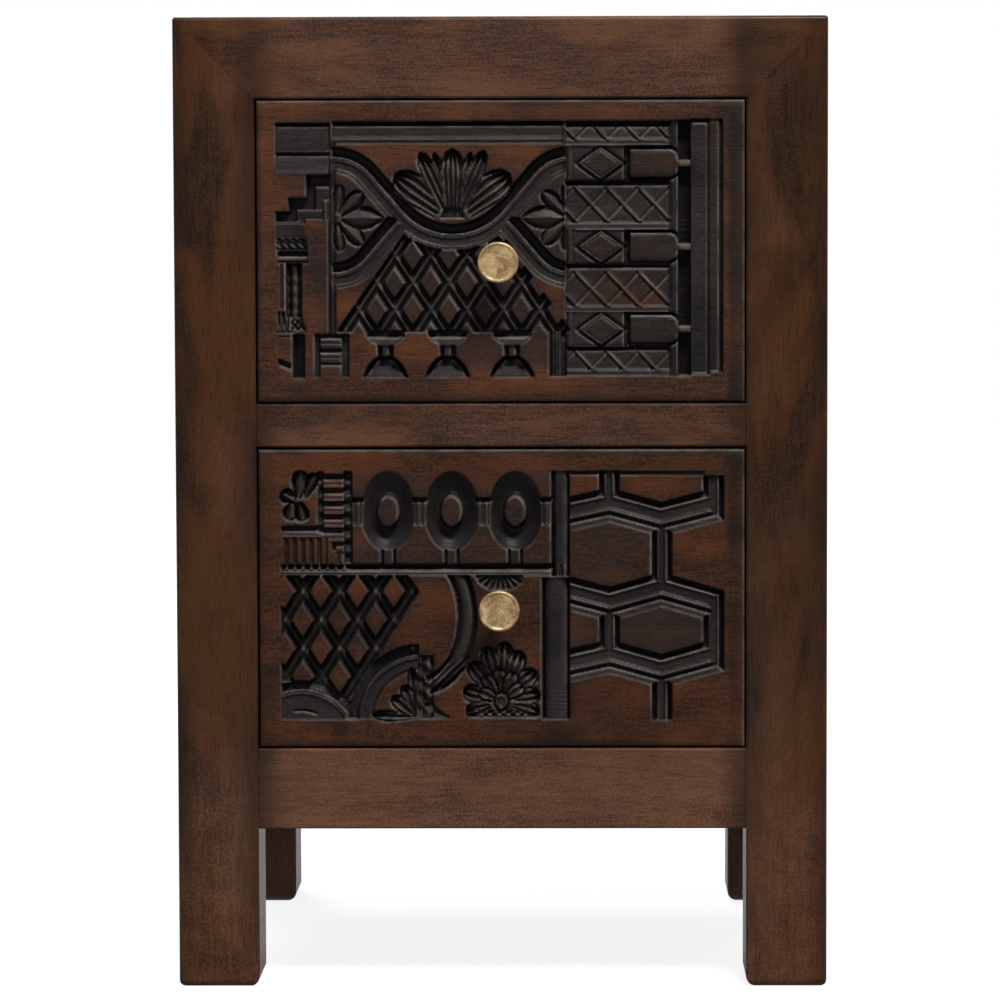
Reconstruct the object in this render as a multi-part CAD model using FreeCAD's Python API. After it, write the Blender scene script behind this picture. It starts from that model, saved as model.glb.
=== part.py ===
import FreeCAD, Part
import math
import os

from FreeCAD import Vector

# Overall sizes in millimetres; the front faces -Y and the floor is Z = 0
width = 402.0
depth = 350.0
height = 600.0
leg_size = 50.0
knob_projection = 24.0

# Levels of the front frame
apron_bottom = 99.0
apron_top = 149.0
divider_bottom = 336.0
divider_top = 362.5
top_rail_bottom = height - leg_size

# Carcass joinery
rail_thickness = 26.0
tenon_thickness = 10.0
tenon_length = 24.0
tenon_inset = 9.0
tenon_shoulder = 9.0
slack = 0.1
panel_thickness = 10.0
panel_setback = 9.0
panel_tongue = 8.0
top_panel_thickness = 18.0
top_panel_gap = 0.4
top_rebate = 10.0
bottom_board_thickness = 6.0
bottom_board_z = 106.0
bottom_board_tongue = 6.0
notch_gap = 0.5
peg_size = 8.0
peg_half_length = 12.0
outer_round = 2.5
inner_bevel = 1.2
foot_round = 5.0
foot_bevel_across = 5.5
foot_bevel_up = 9.0

# Drawer runners, guides and stops
runner_inner_x = 121.0
runner_thickness = 22.0
runner_tenon = 6.0
runner_tenon_inset = 6.0
runner_gap = 0.2
guide_width = 18.0
guide_height = 18.0
guide_nail_y = 70.0
guide_nail_size = 3.0
guide_nail_length = 32.0
guide_nail_head = 6.0
stop_inner_x = 131.0
stop_outer_x = 149.0
stop_thickness = 12.0
stop_height = 14.0
stop_gap = 0.5

# Drawers
front_width = 300.0
front_thickness = 22.0
front_setback = 0.5
front_gap = 0.9
upper_front_height = 185.5
lower_front_height = 184.5
front_round = 1.8
drawer_length = 300.0
drawer_lift = 0.2
side_thickness = 12.0
side_height = 150.0
tail_length = 10.0
tail_root = 9.0
tail_tip = 11.5
tail_levels = (34.0, 80.0, 126.0)
bottom_level = 8.0
bottom_thickness = 5.0
bottom_tongue = 6.0
bottom_overhang = 4.0
back_inset = 12.0
back_top = 140.0
back_dado = 4.0
nail_x = 90.0
nail_size = 1.8
nail_head = 4.8
nail_head_height = 1.2
nail_length = 24.0

# Knobs, turned about an axis along Y
knob_x = -1.0
upper_knob_drop = 6.5
lower_knob_drop = 5.5
knob_radius = 12.5
knob_bevel = 1.3
knob_rim_height = 5.2
knob_foot_radius = 7.0
knob_foot_height = 3.0
knob_neck_radius = 4.6
knob_screw_radius = 2.0
knob_screw_depth = 14.0
knob_hole_radius = 2.4
washer_size = 12.0
washer_thickness = 1.0
screw_head = 7.0
screw_head_height = 2.6

# Carving depths below the face of a drawer front
over = 1.0
shallow = 1.5
mid = 3.0
deep = 4.8
oval_facets = 20

half_width = width / 2
front_y = knob_projection - (depth + knob_projection) / 2
back_y = front_y + depth
inner_x = half_width - leg_size
up = Vector(0, 0, 1)
down = Vector(0, 0, -1)
across = Vector(1, 0, 0)
inwards = Vector(0, 1, 0)
left, right = -1, 1
front, rear = -1, 1
rear_divider_y = back_y - panel_setback - panel_thickness - notch_gap
upper_runner_rear = rear_divider_y - rail_thickness
lower_runner_rear = back_y - rail_thickness
panel_x = half_width - panel_setback - panel_thickness
rail_x = half_width - rail_thickness


def box(x0, x1, y0, y1, z0, z1):
    low = Vector(min(x0, x1), min(y0, y1), min(z0, z1))
    return Part.makeBox(abs(x1 - x0), abs(y1 - y0), abs(z1 - z0), low)


def block(corner, opposite):
    return box(corner.x, opposite.x, corner.y, opposite.y, corner.z, opposite.z)


def grown(solid, by):
    bounds = solid.BoundBox
    return box(bounds.XMin - by, bounds.XMax + by, bounds.YMin - by, bounds.YMax + by,
               bounds.ZMin - by, bounds.ZMax + by)


def extruded(points, direction):
    return Part.Face(Part.makePolygon(points + points[:1])).extrude(direction)


def rounding(start, end, inward_a, inward_b, size_a, size_b):
    # Strip that comes off the edge from start to end and leaves it round
    reach_a = start + inward_a * size_a
    reach_b = start + inward_b * size_b
    middle = start + (inward_a * size_a + inward_b * size_b) * (1 - math.sqrt(0.5))
    corners = [reach_b, reach_b - inward_a * over, start - (inward_a + inward_b) * over,
               reach_a - inward_b * over, reach_a]
    outline = [Part.Arc(reach_a, middle, reach_b).toShape()]
    outline += [Part.makeLine(a, b) for a, b in zip(corners, corners[1:])]
    return Part.Face(Part.Wire(outline)).extrude(end - start)


def bevel(start, end, inward_a, inward_b):
    # Strip that comes off the edge from start to end and leaves a narrow flat
    outside = start - (inward_a + inward_b) * inner_bevel
    corners = [outside, start + inward_a * inner_bevel, start + inward_b * inner_bevel]
    return extruded(corners, end - start)


# Carcass: the top corners give each member its three inward directions
def corner_at(side, end):
    return Vector(side * half_width, front_y if end == front else back_y, height)


def inward_at(side, end):
    return Vector(-side, 0, 0), Vector(0, -end, 0), down


def mitre_wedge(corner, member, neighbour, third):
    # The part of the corner cube nearer to the neighbour than to the member
    size = leg_size + 2 * over
    start = corner - (member + neighbour + third) * over
    points = [start, start + neighbour * size, start + (neighbour + member) * size]
    return extruded(points, third * size)


def mitre_wedges(corner, member, first, second):
    return [mitre_wedge(corner, member, first, second), mitre_wedge(corner, member, second, first)]


def pegs_at(side, end, by):
    # One square peg through each of the three mitre faces
    corner = corner_at(side, end)
    u, v, w = inward_at(side, end)
    near, far = leg_size / 3, leg_size * 2 / 3
    half = peg_size / 2 + by
    reach = peg_half_length + by
    pegs = []
    for a, b, c in ((u, w, v), (v, w, u), (u, v, w)):
        axis = (a - b) * math.sqrt(0.5)
        outwards = (a + b) * math.sqrt(0.5)
        start = corner + (a + b) * far + c * near - axis * reach
        square = ((-1, -1), (1, -1), (1, 1), (-1, 1))
        section = [start + outwards * (half * i) + c * (half * j) for i, j in square]
        pegs.append(extruded(section, axis * (2 * reach)))
    return pegs


def side_panel(side):
    return box(side * panel_x, side * (panel_x + panel_thickness),
               front_y + leg_size - panel_tongue, back_y - leg_size + panel_tongue,
               apron_top - panel_tongue, top_rail_bottom + panel_tongue)


def back_panel():
    outer = back_y - panel_setback
    reach = inner_x + panel_tongue
    return box(-reach, reach, outer - panel_thickness, outer,
               apron_top - panel_tongue, top_rail_bottom + panel_tongue)


def cross_tenon(side, outer_y, inward, z0, z1):
    near = outer_y + inward * tenon_inset
    return box(side * inner_x, side * (inner_x + tenon_length), near, near + inward * tenon_thickness,
               z0 + tenon_shoulder, z1 - tenon_shoulder)


def cross_rail(outer_y, inward, z0, z1):
    # Rail between two legs along X, with a tenon at each end
    rail = box(-inner_x, inner_x, outer_y, outer_y + inward * rail_thickness, z0, z1)
    return rail.fuse([cross_tenon(side, outer_y, inward, z0, z1) for side in (left, right)])


def side_tenon(side, end):
    edge = corner_at(side, end).y - end * leg_size
    outer = side * (half_width - tenon_inset)
    return box(outer, outer - side * tenon_thickness, edge, edge + end * tenon_length,
               apron_bottom + tenon_shoulder, apron_top - tenon_shoulder)


def leg_roundings(side, end):
    corner = corner_at(side, end)
    u, v, w = inward_at(side, end)
    foot = corner + w * height
    by_u, by_v = foot + u * leg_size, foot + v * leg_size
    past = leg_size + over
    strips = [
        rounding(corner - w * over, foot + w * over, u, v, outer_round, outer_round),
        rounding(foot - u * over, foot + u * past, v, up, foot_round, foot_round),
        rounding(foot - v * over, foot + v * past, u, up, foot_round, foot_round),
        rounding(by_u - v * over, by_u + v * past, -u, up, foot_bevel_across, foot_bevel_up),
        rounding(by_v - u * over, by_v + u * past, -v, up, foot_bevel_across, foot_bevel_up),
        bevel(by_u + v * leg_size - up * over, by_u + v * leg_size + up * apron_bottom, -u, -v),
    ]
    below, whole = (-over, apron_bottom), (apron_top, top_rail_bottom)
    drawers = [(apron_top, divider_bottom), (divider_top, top_rail_bottom)]
    for z0, z1 in [below] + (drawers if end == front else [whole]):
        strips.append(bevel(by_u + up * z0, by_u + up * z1, -u, v))
    for z0, z1 in (below, whole):
        strips.append(bevel(by_v + up * z0, by_v + up * z1, u, -v))
    return strips


def leg_hollows(side, end):
    outer_y = corner_at(side, end).y
    tenons = [side_tenon(side, end), side_panel(side)]
    tenons.append(cross_tenon(side, outer_y, -end, apron_bottom, apron_top))
    if end == front:
        tenons.append(cross_tenon(side, front_y, 1, divider_bottom, divider_top))
    else:
        tenons.append(cross_tenon(side, rear_divider_y, -1, divider_bottom, divider_top))
        tenons.append(back_panel())
    return [grown(tenon, slack) for tenon in tenons] + pegs_at(side, end, slack)


def leg(side, end):
    corner = corner_at(side, end)
    u, v, w = inward_at(side, end)
    post = block(corner, corner + (u + v) * leg_size + w * height)
    return post.cut(mitre_wedges(corner, w, u, v)).cut(leg_roundings(side, end)).cut(leg_hollows(side, end))


def top_space():
    reach = inner_x + top_rebate
    inset = leg_size - top_rebate
    return box(-reach, reach, front_y + inset, back_y - inset, height - top_panel_thickness, height + over)


def top_rail(corners, start, run, length, face, neighbour):
    # Square rail from one corner along run; face looks inwards and neighbour names the crossing rail
    rail = block(start, start + run * length + (face + down) * leg_size)
    for side, end in corners:
        u, v, w = inward_at(side, end)
        member, crossing = (u, v) if neighbour == "side" else (v, u)
        rail = rail.cut(mitre_wedges(corner_at(side, end), member, crossing, w))
    low = start + down * leg_size
    taken = [top_space(), grown(back_panel(), slack)]
    taken += [grown(side_panel(side), slack) for side in (left, right)]
    taken.append(rounding(start - run * over, start + run * (length + over), face, down,
                          outer_round, outer_round))
    taken.append(bevel(low + run * leg_size, low + run * (length - leg_size), face, up))
    for side, end in corners:
        taken += pegs_at(side, end, slack)
    return rail.cut(taken)


def top_rail_across(end):
    corners = [(left, end), (right, end)]
    return top_rail(corners, corner_at(left, end), across, width, Vector(0, -end, 0), "side")


def top_rail_along(side):
    corners = [(side, front), (side, rear)]
    return top_rail(corners, corner_at(side, front), inwards, depth, Vector(-side, 0, 0), "cross")


def top_panel():
    space = top_space().BoundBox
    return box(space.XMin + top_panel_gap, space.XMax - top_panel_gap,
               space.YMin + top_panel_gap, space.YMax - top_panel_gap,
               height - top_panel_thickness, height)


def bottom_space():
    inset = rail_thickness - bottom_board_tongue
    return box(inset - half_width, half_width - inset, front_y + inset, back_y - inset,
               bottom_board_z, bottom_board_z + bottom_board_thickness)


def bottom_board():
    notches = []
    for side in (left, right):
        for end in (front, rear):
            corner = corner_at(side, end)
            u, v, w = inward_at(side, end)
            notches.append(block(corner, corner + (u + v) * (leg_size + notch_gap) + w * height))
    return bottom_space().cut(notches)


def runner_tenons(side, top, rear_y):
    middle = top - runner_thickness / 2
    low, high = middle - tenon_thickness / 2, middle + tenon_thickness / 2
    front_edge = front_y + rail_thickness
    x0 = side * (runner_inner_x + runner_tenon_inset)
    x1 = side * (inner_x - runner_tenon_inset)
    return [box(x0, x1, front_edge - runner_tenon, front_edge, low, high),
            box(x0, x1, rear_y, rear_y + runner_tenon, low, high)]


def runner_mortises(top, rear_y):
    return [grown(tenon, slack) for side in (left, right) for tenon in runner_tenons(side, top, rear_y)]


def cut_nail(place, direction, size, length, head, by):
    # Square nail with its head's face at the place, grown by a little where it stands for its hole
    head_half, half = head / 2 + by, size / 2 + by
    low = Vector(-head_half, -head_half, 0)
    solid = block(low, Vector(head_half, head_half, nail_head_height + by))
    solid = solid.fuse(block(Vector(-half, -half, 0), Vector(half, half, length + by)))
    if direction == down:
        solid = solid.mirror(Vector(0, 0, 0), up)
    solid.translate(place)
    return solid


def guide_nails(side, top, by):
    # Driven down through a guide strip into the runner below
    x = side * (inner_x + guide_width / 2)
    middle = (front_y + back_y) / 2
    places = [Vector(x, middle + y, top + guide_height) for y in (-guide_nail_y, guide_nail_y)]
    return [cut_nail(place, down, guide_nail_size, guide_nail_length, guide_nail_head, by)
            for place in places]


def runner(side, top, rear_y, outer_x):
    # Board notched round both legs
    inner, at_leg = side * runner_inner_x, side * (inner_x - runner_gap)
    outer = side * (outer_x - runner_gap)
    front_edge = front_y + rail_thickness
    behind_leg = front_y + leg_size + runner_gap
    before_leg = back_y - leg_size - runner_gap
    plan = [(inner, front_edge), (at_leg, front_edge), (at_leg, behind_leg), (outer, behind_leg),
            (outer, before_leg), (at_leg, before_leg), (at_leg, rear_y), (inner, rear_y)]
    board = extruded([Vector(x, y, top) for x, y in plan], down * runner_thickness)
    return board.fuse(runner_tenons(side, top, rear_y)).cut(guide_nails(side, top, slack))


def guide(side, top):
    strip = box(side * inner_x, side * (inner_x + guide_width), front_y + leg_size + runner_gap,
                back_y - leg_size - runner_gap, top, top + guide_height)
    return strip.cut(guide_nails(side, top, slack))


def stop_block(side, top):
    behind = front_y + front_setback + drawer_length + stop_gap
    return box(side * stop_inner_x, side * stop_outer_x, behind, behind + stop_thickness,
               top, top + stop_height)


def front_rail(z0, z1, runner_rear):
    rail = cross_rail(front_y, 1, z0, z1).cut(runner_mortises(z1, runner_rear))
    edges = []
    for z, inward in ((z0, up), (z1, down)):
        start = Vector(-inner_x, front_y, z)
        edges.append(bevel(start, start + across * 2 * inner_x, inwards, inward))
    return rail.cut(edges)


def bottom_rail_rear():
    rail = cross_rail(back_y, -1, apron_bottom, apron_top)
    grooves = [grown(bottom_space(), slack), grown(back_panel(), slack)]
    return rail.cut(runner_mortises(apron_top, lower_runner_rear) + grooves)


def bottom_rail_along(side):
    rail = box(side * half_width, side * rail_x, front_y + leg_size, back_y - leg_size,
               apron_bottom, apron_top)
    rail = rail.fuse([side_tenon(side, end) for end in (front, rear)])
    return rail.cut([grown(bottom_space(), slack), grown(side_panel(side), slack)])


# Drawer boxes
def dovetails(side, face, base):
    outer = side * front_width / 2
    root_y, tip_y = face + front_thickness, face + front_thickness - tail_length
    tails = []
    for tail_level in tail_levels:
        z = base + tail_level
        outline = [(root_y, -tail_root), (tip_y, -tail_tip), (tip_y, tail_tip), (root_y, tail_root)]
        points = [Vector(outer, y, z + reach) for y, reach in outline]
        tails.append(extruded(points, Vector(-side * side_thickness, 0, 0)))
    return tails


def drawer_bottom(face, base):
    reach = front_width / 2 - side_thickness + bottom_tongue
    back_face = face + drawer_length - back_inset
    board = box(-reach, reach, face + front_thickness - bottom_tongue, back_face + bottom_overhang,
                base + bottom_level, base + bottom_level + bottom_thickness)
    return board.cut(nails(face, base, slack))


def drawer_back(face, base):
    reach = front_width / 2 - side_thickness + back_dado
    back_face = face + drawer_length - back_inset
    board = box(-reach, reach, back_face - side_thickness, back_face,
                base + bottom_level + bottom_thickness, base + back_top)
    return board.cut(nails(face, base, slack))


def nails(face, base, by):
    y = face + drawer_length - back_inset - side_thickness / 2
    places = [Vector(x, y, base + bottom_level) for x in (-nail_x, 0.0, nail_x)]
    return [cut_nail(place, up, nail_size, nail_length, nail_head, by) for place in places]


def drawer_side(side, face, base):
    outer = side * front_width / 2
    board = box(outer, outer - side * side_thickness, face + front_thickness, face + drawer_length,
                base, base + side_height)
    board = board.fuse(dovetails(side, face, base))
    bounds = drawer_bottom(face, base).BoundBox
    groove = box(bounds.XMin, bounds.XMax, face, face + drawer_length + over, bounds.ZMin, bounds.ZMax)
    back = drawer_back(face, base).BoundBox
    dado = box(back.XMin, back.XMax, back.YMin, back.YMax, back.ZMin, base + side_height + over)
    return board.cut([grown(groove, slack), grown(dado, slack)])


def drawer_front(face, base, bottom, front_height, knob_z, tools):
    half = front_width / 2
    board = box(-half, half, face, face + front_thickness, bottom, bottom + front_height)
    edges = []
    for z, inward in ((bottom, up), (bottom + front_height, down)):
        start = Vector(-half - over, face, z)
        edges.append(rounding(start, start + across * (front_width + 2 * over), inwards, inward,
                              front_round, front_round))
    for x, inward in ((-half, across), (half, across * -1)):
        start = Vector(x, face, bottom - over)
        edges.append(rounding(start, start + up * (front_height + 2 * over), inwards, inward,
                              front_round, front_round))
    board = board.cut(edges)
    joints = dovetails(left, face, base) + dovetails(right, face, base)
    joints.append(grown(drawer_bottom(face, base), slack))
    joints.append(Part.makeCylinder(knob_hole_radius, front_thickness + 2 * over,
                                    Vector(knob_x, face - over, knob_z), inwards))
    board = board.cut(joints)
    centre = Vector(0, face, bottom + front_height / 2)
    for group in tools:
        placed = []
        for tool in group:
            tool = tool.copy()
            tool.translate(centre)
            placed.append(tool)
        board = board.cut(placed)
    return board.removeSplitter()


# Knob and its fixing
def knob(z, face):
    # Turned profile: foot, neck, and a disc with a bevelled edge
    start = Vector(knob_x, face, z)

    def at(radius, out):
        return start + across * radius - inwards * out

    tip = knob_projection + front_setback
    rim_back = tip - knob_rim_height
    outline = [
        at(0, 0), at(knob_foot_radius, 0), at(knob_foot_radius, knob_foot_height),
        at(knob_neck_radius, knob_foot_height), at(knob_neck_radius, rim_back),
        at(knob_radius, rim_back), at(knob_radius, tip - knob_bevel),
        at(knob_radius - knob_bevel, tip), at(0, tip), at(0, 0),
    ]
    body = Part.Face(Part.makePolygon(outline)).revolve(start, inwards, 360)
    bore = Part.makeCylinder(knob_screw_radius + slack, knob_screw_depth + slack, start, inwards * -1)
    return body.cut(bore)


def knob_washer(z, face):
    start = Vector(knob_x, face + front_thickness, z)
    half = washer_size / 2
    plate = box(knob_x - half, knob_x + half, start.y, start.y + washer_thickness, z - half, z + half)
    return plate.cut(Part.makeCylinder(knob_hole_radius, washer_thickness, start, inwards))


def knob_screw(z, face):
    seat = Vector(knob_x, face + front_thickness + washer_thickness, z)
    half = screw_head / 2
    head = box(knob_x - half, knob_x + half, seat.y, seat.y + screw_head_height, z - half, z + half)
    shank = Part.makeCylinder(knob_screw_radius, front_thickness + washer_thickness + knob_screw_depth,
                              seat, inwards * -1)
    return head.fuse(shank)


# Carving tools in the frame of a drawer front: x across and z up from its centre, depth into the wood
def at_face(x, z, into=0.0):
    return Vector(x, into, z)


def sunk(outline, into):
    # Straight-walled recess below an outline of (x, z) points
    return extruded([at_face(x, z, -over) for x, z in outline], inwards * (into + over))


def rectangle(x0, x1, z0, z1):
    return [(x0, z0), (x1, z0), (x1, z1), (x0, z1)]


def opened(section):
    # Closes a section of (offset, depth) points above the surface
    return [(section[0][0], -over)] + section + [(section[-1][0], -over)]


def vee(half, into, level=0.0):
    return opened([(-half, level), (0.0, into), (half, level)])


def upright(x, z0, z1, section):
    points = [at_face(x + offset, z0, into) for offset, into in section]
    return extruded(points, at_face(0.0, z1 - z0))


def slanted(start, end, section):
    # Offsets run up the face, so the ends of a slanted channel stand upright
    points = [at_face(start[0], start[1] + offset, into) for offset, into in section]
    return extruded(points, at_face(end[0] - start[0], end[1] - start[1]))


def level(x0, x1, section):
    return slanted((x0, 0.0), (x1, 0.0), section)


def swung(centre, radius, start, sweep, section):
    # Channel turned about a centre; offsets run outwards from the radius
    pivot = at_face(*centre)
    points = [at_face(centre[0] + radius + offset, centre[1], into) for offset, into in section]
    face = Part.Face(Part.makePolygon(points + points[:1]))
    face.rotate(pivot, inwards * -1, start)
    return face.revolve(pivot, inwards * -1, sweep)


def half_round(x0, x1, z0, z1, crown, wall):
    # Upright recess that leaves a round post standing in it
    start = [at_face(x0, z0, -over), at_face(x0, z0, wall)]
    end = [at_face(x1, z0, wall), at_face(x1, z0, -over)]
    arc = Part.Arc(start[1], at_face((x0 + x1) / 2, z0, crown), end[0]).toShape()
    lines = [Part.makeLine(*start), arc, Part.makeLine(*end), Part.makeLine(end[1], start[0])]
    return Part.Face(Part.Wire(lines)).extrude(at_face(0.0, z1 - z0))


def closed_solid(faces):
    solid = Part.Solid(Part.Shell([Part.Face(Part.makePolygon(points + points[:1])) for points in faces]))
    if solid.Volume < 0:
        solid.reverse()
    return solid


def oval_plug(centre, half_x, half_z, near, far, share):
    # Oval of narrow facets whose outline has changed to a share of itself at the far depth
    rings = []
    for into, scale in ((near, 1.0), (far, share)):
        turns = [2 * math.pi * i / oval_facets for i in range(oval_facets)]
        rings.append([at_face(centre[0] + half_x * scale * math.cos(turn),
                              centre[1] + half_z * scale * math.sin(turn), into) for turn in turns])
    walls = []
    for i in range(oval_facets):
        j = (i + 1) % oval_facets
        walls.append([rings[0][i], rings[0][j], rings[1][j], rings[1][i]])
    return closed_solid(rings + walls)


def leaf(base, tip, half, into, fullest=0.55):
    # Chip-cut petal: a pointed rim falling to one low point on its middle line
    bx, bz = base
    dx, dz = tip[0] - bx, tip[1] - bz
    length = math.hypot(dx, dz)
    nx, nz = -dz / length * half, dx / length * half
    rim = [(0.0, 0.35), (fullest, 1.0), (0.85, 0.62), (1.0, 0.0), (0.85, -0.62), (fullest, -1.0),
           (0.0, -0.35)]

    def spot(along, beside, here):
        return at_face(bx + dx * along + nx * beside, bz + dz * along + nz * beside, here)

    upper = [spot(a, b, -over) for a, b in rim]
    lower = [spot(a, b, 0.0) for a, b in rim]
    bottom = spot(fullest, 0.0, into)
    faces = [upper]
    for i in range(len(rim)):
        j = (i + 1) % len(rim)
        faces.append([upper[i], upper[j], lower[j], lower[i]])
        faces.append([lower[i], lower[j], bottom])
    return closed_solid(faces)


def with_mirror(solids, x):
    return solids + [solid.mirror(at_face(x, 0.0), across) for solid in solids]


def lattice(node, pitch, rise, section, region):
    # Two families of slanted bars through one node, kept inside a region
    bounds = region.BoundBox
    slope = pitch / 2 / rise
    bars = []
    for lean in (-slope, slope):
        reach = [node[0] + lean * (z - node[1]) for z in (bounds.ZMin, bounds.ZMax)]
        first = math.floor((bounds.XMin - max(reach)) / pitch)
        last = math.ceil((bounds.XMax - min(reach)) / pitch)
        for step in range(first, last + 1):
            shift = step * pitch
            points = [at_face(reach[0] + shift + offset, bounds.ZMin, into) for offset, into in section]
            bar = extruded(points, at_face(reach[1] - reach[0], bounds.ZMax - bounds.ZMin))
            kept = bar.common(region)
            if kept.Volume > 1.0:
                bars += kept.Solids
    return bars


# Upper front: an ogee arch with a lotus over a lattice and vases, a column at the left, hinges at the right
lotus_x = -29.5
arch_half = 8.0
bowl_centre = (lotus_x, 52.0)
bowl_radius = 43.5
haunch_x = -103.0
haunch_radius = 27.3
almond_z = 20.5
haunch_rise = 8.2
hinge_levels = (53.5, 2.5, -48.0)
zigzag_rise = 10.0
vase_places = (-71.5, -33.0, 7.0)
vase_top = -49.5
field_top = 79.5
field_bottom = -77.5


def arch_section(sign):
    # Deep along one side, then a ridge and a slope back to the surface
    steps = [(arch_half, deep), (2.0, deep), (2.0, shallow), (-arch_half, 0.0)]
    return opened([(sign * offset, into) for offset, into in steps])


def flank(start, end, section):
    # Straight channel square to its own run
    run = at_face(end[0] - start[0], end[1] - start[1])
    nx, nz = -run.z / run.Length, run.x / run.Length
    points = [at_face(start[0] + nx * offset, start[1] + nz * offset, into) for offset, into in section]
    return extruded(points, run)


def arch_tools():
    # The straight flank touches bowl and haunch at one angle
    run, rise = lotus_x - haunch_x, bowl_centre[1] - almond_z - haunch_rise
    turn = math.atan2(rise, run) + math.acos((bowl_radius + haunch_radius) / math.hypot(run, rise))
    arch_turn = math.degrees(turn)
    bowl_joint = (lotus_x - bowl_radius * math.cos(turn), bowl_centre[1] - bowl_radius * math.sin(turn))
    top = (haunch_x + haunch_radius * math.cos(turn), almond_z + haunch_rise + haunch_radius * math.sin(turn))
    haunch = (haunch_x, almond_z + haunch_rise)
    under = (haunch_x, almond_z - haunch_rise)
    low_joint = (bowl_joint[0], 2 * almond_z - bowl_joint[1])
    low_top = (top[0], 2 * almond_z - top[1])
    bowl = swung(bowl_centre, bowl_radius, 180 + arch_turn, 180 - 2 * arch_turn, arch_section(-1))
    pieces = [
        flank(top, bowl_joint, arch_section(1)),
        swung(haunch, haunch_radius, arch_turn, 90 - arch_turn, arch_section(1)),
        flank(low_joint, low_top, arch_section(-1)),
        swung(under, haunch_radius, -90, 90 - arch_turn, arch_section(-1)),
    ]
    return [[bowl]] + [with_mirror([piece], lotus_x) for piece in pieces]


def almond_petals():
    heart = (-101.5, almond_z)
    petals = [leaf((-98.0, almond_z), (-72.0, almond_z), 6.2, mid, 0.45)]
    for angle, length, half in ((45, 19, 4.2), (-45, 19, 4.2), (80, 20, 3.4), (-80, 20, 3.4)):
        swing = math.radians(angle)
        base = (heart[0] + 3.5 * math.cos(swing), heart[1] + 3.5 * math.sin(swing))
        tip = (heart[0] + length * math.cos(swing), heart[1] + length * math.sin(swing))
        petals.append(leaf(base, tip, half, mid))
    return petals


def lotus_tools():
    side = [leaf((-37.0, 24.5), (-66.0, 46.0), 7.0, deep), leaf((-34.0, 27.5), (-49.5, 60.5), 5.0, deep),
            leaf((-31.8, 28.0), (-40.5, 60.0), 3.0, mid)]
    return [with_mirror(side, lotus_x), [leaf((lotus_x, 28.0), (lotus_x, 62.5), 7.0, deep)],
            [sunk(rectangle(-36.0, -23.0, 20.5, 26.5), mid)]]


def upper_lattice():
    corners = [(-58.0, 13.0), (-99.5, vase_top), (41.0, vase_top), (-1.0, 13.0)]
    region = extruded([at_face(x, z, -over) for x, z in corners], inwards * front_thickness)
    bowl = Part.makeCylinder(bowl_radius + arch_half, front_thickness, at_face(*bowl_centre, -over), inwards)
    return lattice((-32.0, -19.3), 22.4, 17.0, vee(4.2, mid), region.cut(bowl))


def vase(x):
    # Saucer, neck and domed foot as one outline, mirrored about its middle
    sides = []
    for sign in (1, -1):
        def spot(reach, z):
            return at_face(x + sign * reach, z, -over)
        sides += [
            Part.makeLine(spot(0, vase_top), spot(12.0, vase_top)),
            Part.makeLine(spot(12.0, vase_top), spot(11.4, -52.5)),
            Part.Arc(spot(11.4, -52.5), spot(8.6, -57.0), spot(4.7, -58.6)).toShape(),
            Part.makeLine(spot(4.7, -58.6), spot(4.7, -65.5)),
            Part.Arc(spot(4.7, -65.5), spot(10.4, -69.8), spot(14.0, field_bottom)).toShape(),
            Part.makeLine(spot(14.0, field_bottom), spot(0, field_bottom)),
        ]
    face = Part.Face(Part.Wire(Part.__sortEdges__(sides)))
    return face.extrude(inwards * (mid + over))


def column_tools():
    stairs = [(-105, 47), (-120, 47), (-120, 33), (-131, 33), (-131, 24.5), (-139, 24.5), (-139, 17.5),
              (-124, 17.5), (-124, 25.5), (-112.5, 25.5), (-112.5, 39.5), (-105, 39.5)]
    shelves = [(78.5, 0.0), (78.5, mid), (60.6, 1.8), (60.6, mid), (50.0, 0.8), (48.5, 0.0)]
    shaft = opened([(-5.0, 0.0), (-4.2, mid), (0.0, shallow), (4.2, mid), (5.0, 0.0)])
    post = opened([(-2.0, 0.0), (-1.5, mid), (1.5, mid), (2.0, 0.0)])
    slat = [(-52.0, 0.0), (-52.0, mid), (-60.5, 0.5)]
    return [
        [level(-139.0, -105.0, opened(shelves))],
        [sunk(stairs, deep - 0.6)],
        [sunk(rectangle(-139.0, -121.0, -3.0, 8.5), shallow)],
        [upright(-128.0, -50.0, -7.0, shaft)],
        [upright(-125.5, field_bottom, -51.0, opened([(-4.0, 0.0), (-3.0, deep), (3.0, deep), (4.0, 0.0)]))],
        [upright(-114.0, field_bottom, -51.0, post), upright(-96.5, field_bottom, -51.0, post)],
        [level(-112.2, -98.3, opened(slat))],
        [level(-112.2, -98.3, opened([(z - 10.0, into) for z, into in slat]))],
        [upright(-106.2, -52.0, 48.0, vee(0.9, shallow)), upright(-102.8, -52.0, 48.0, vee(0.9, shallow))],
    ]


def hinge_tab(z):
    outline = [(79.5, z - 9), (103, z - 9), (107, z - 6.5), (109.6, z - 2.6), (117.5, z - 2.6),
               (117.5, z + 2.6), (109.6, z + 2.6), (107, z + 6.5), (103, z + 9), (79.5, z + 9)]
    return sunk(outline, front_thickness)


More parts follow.
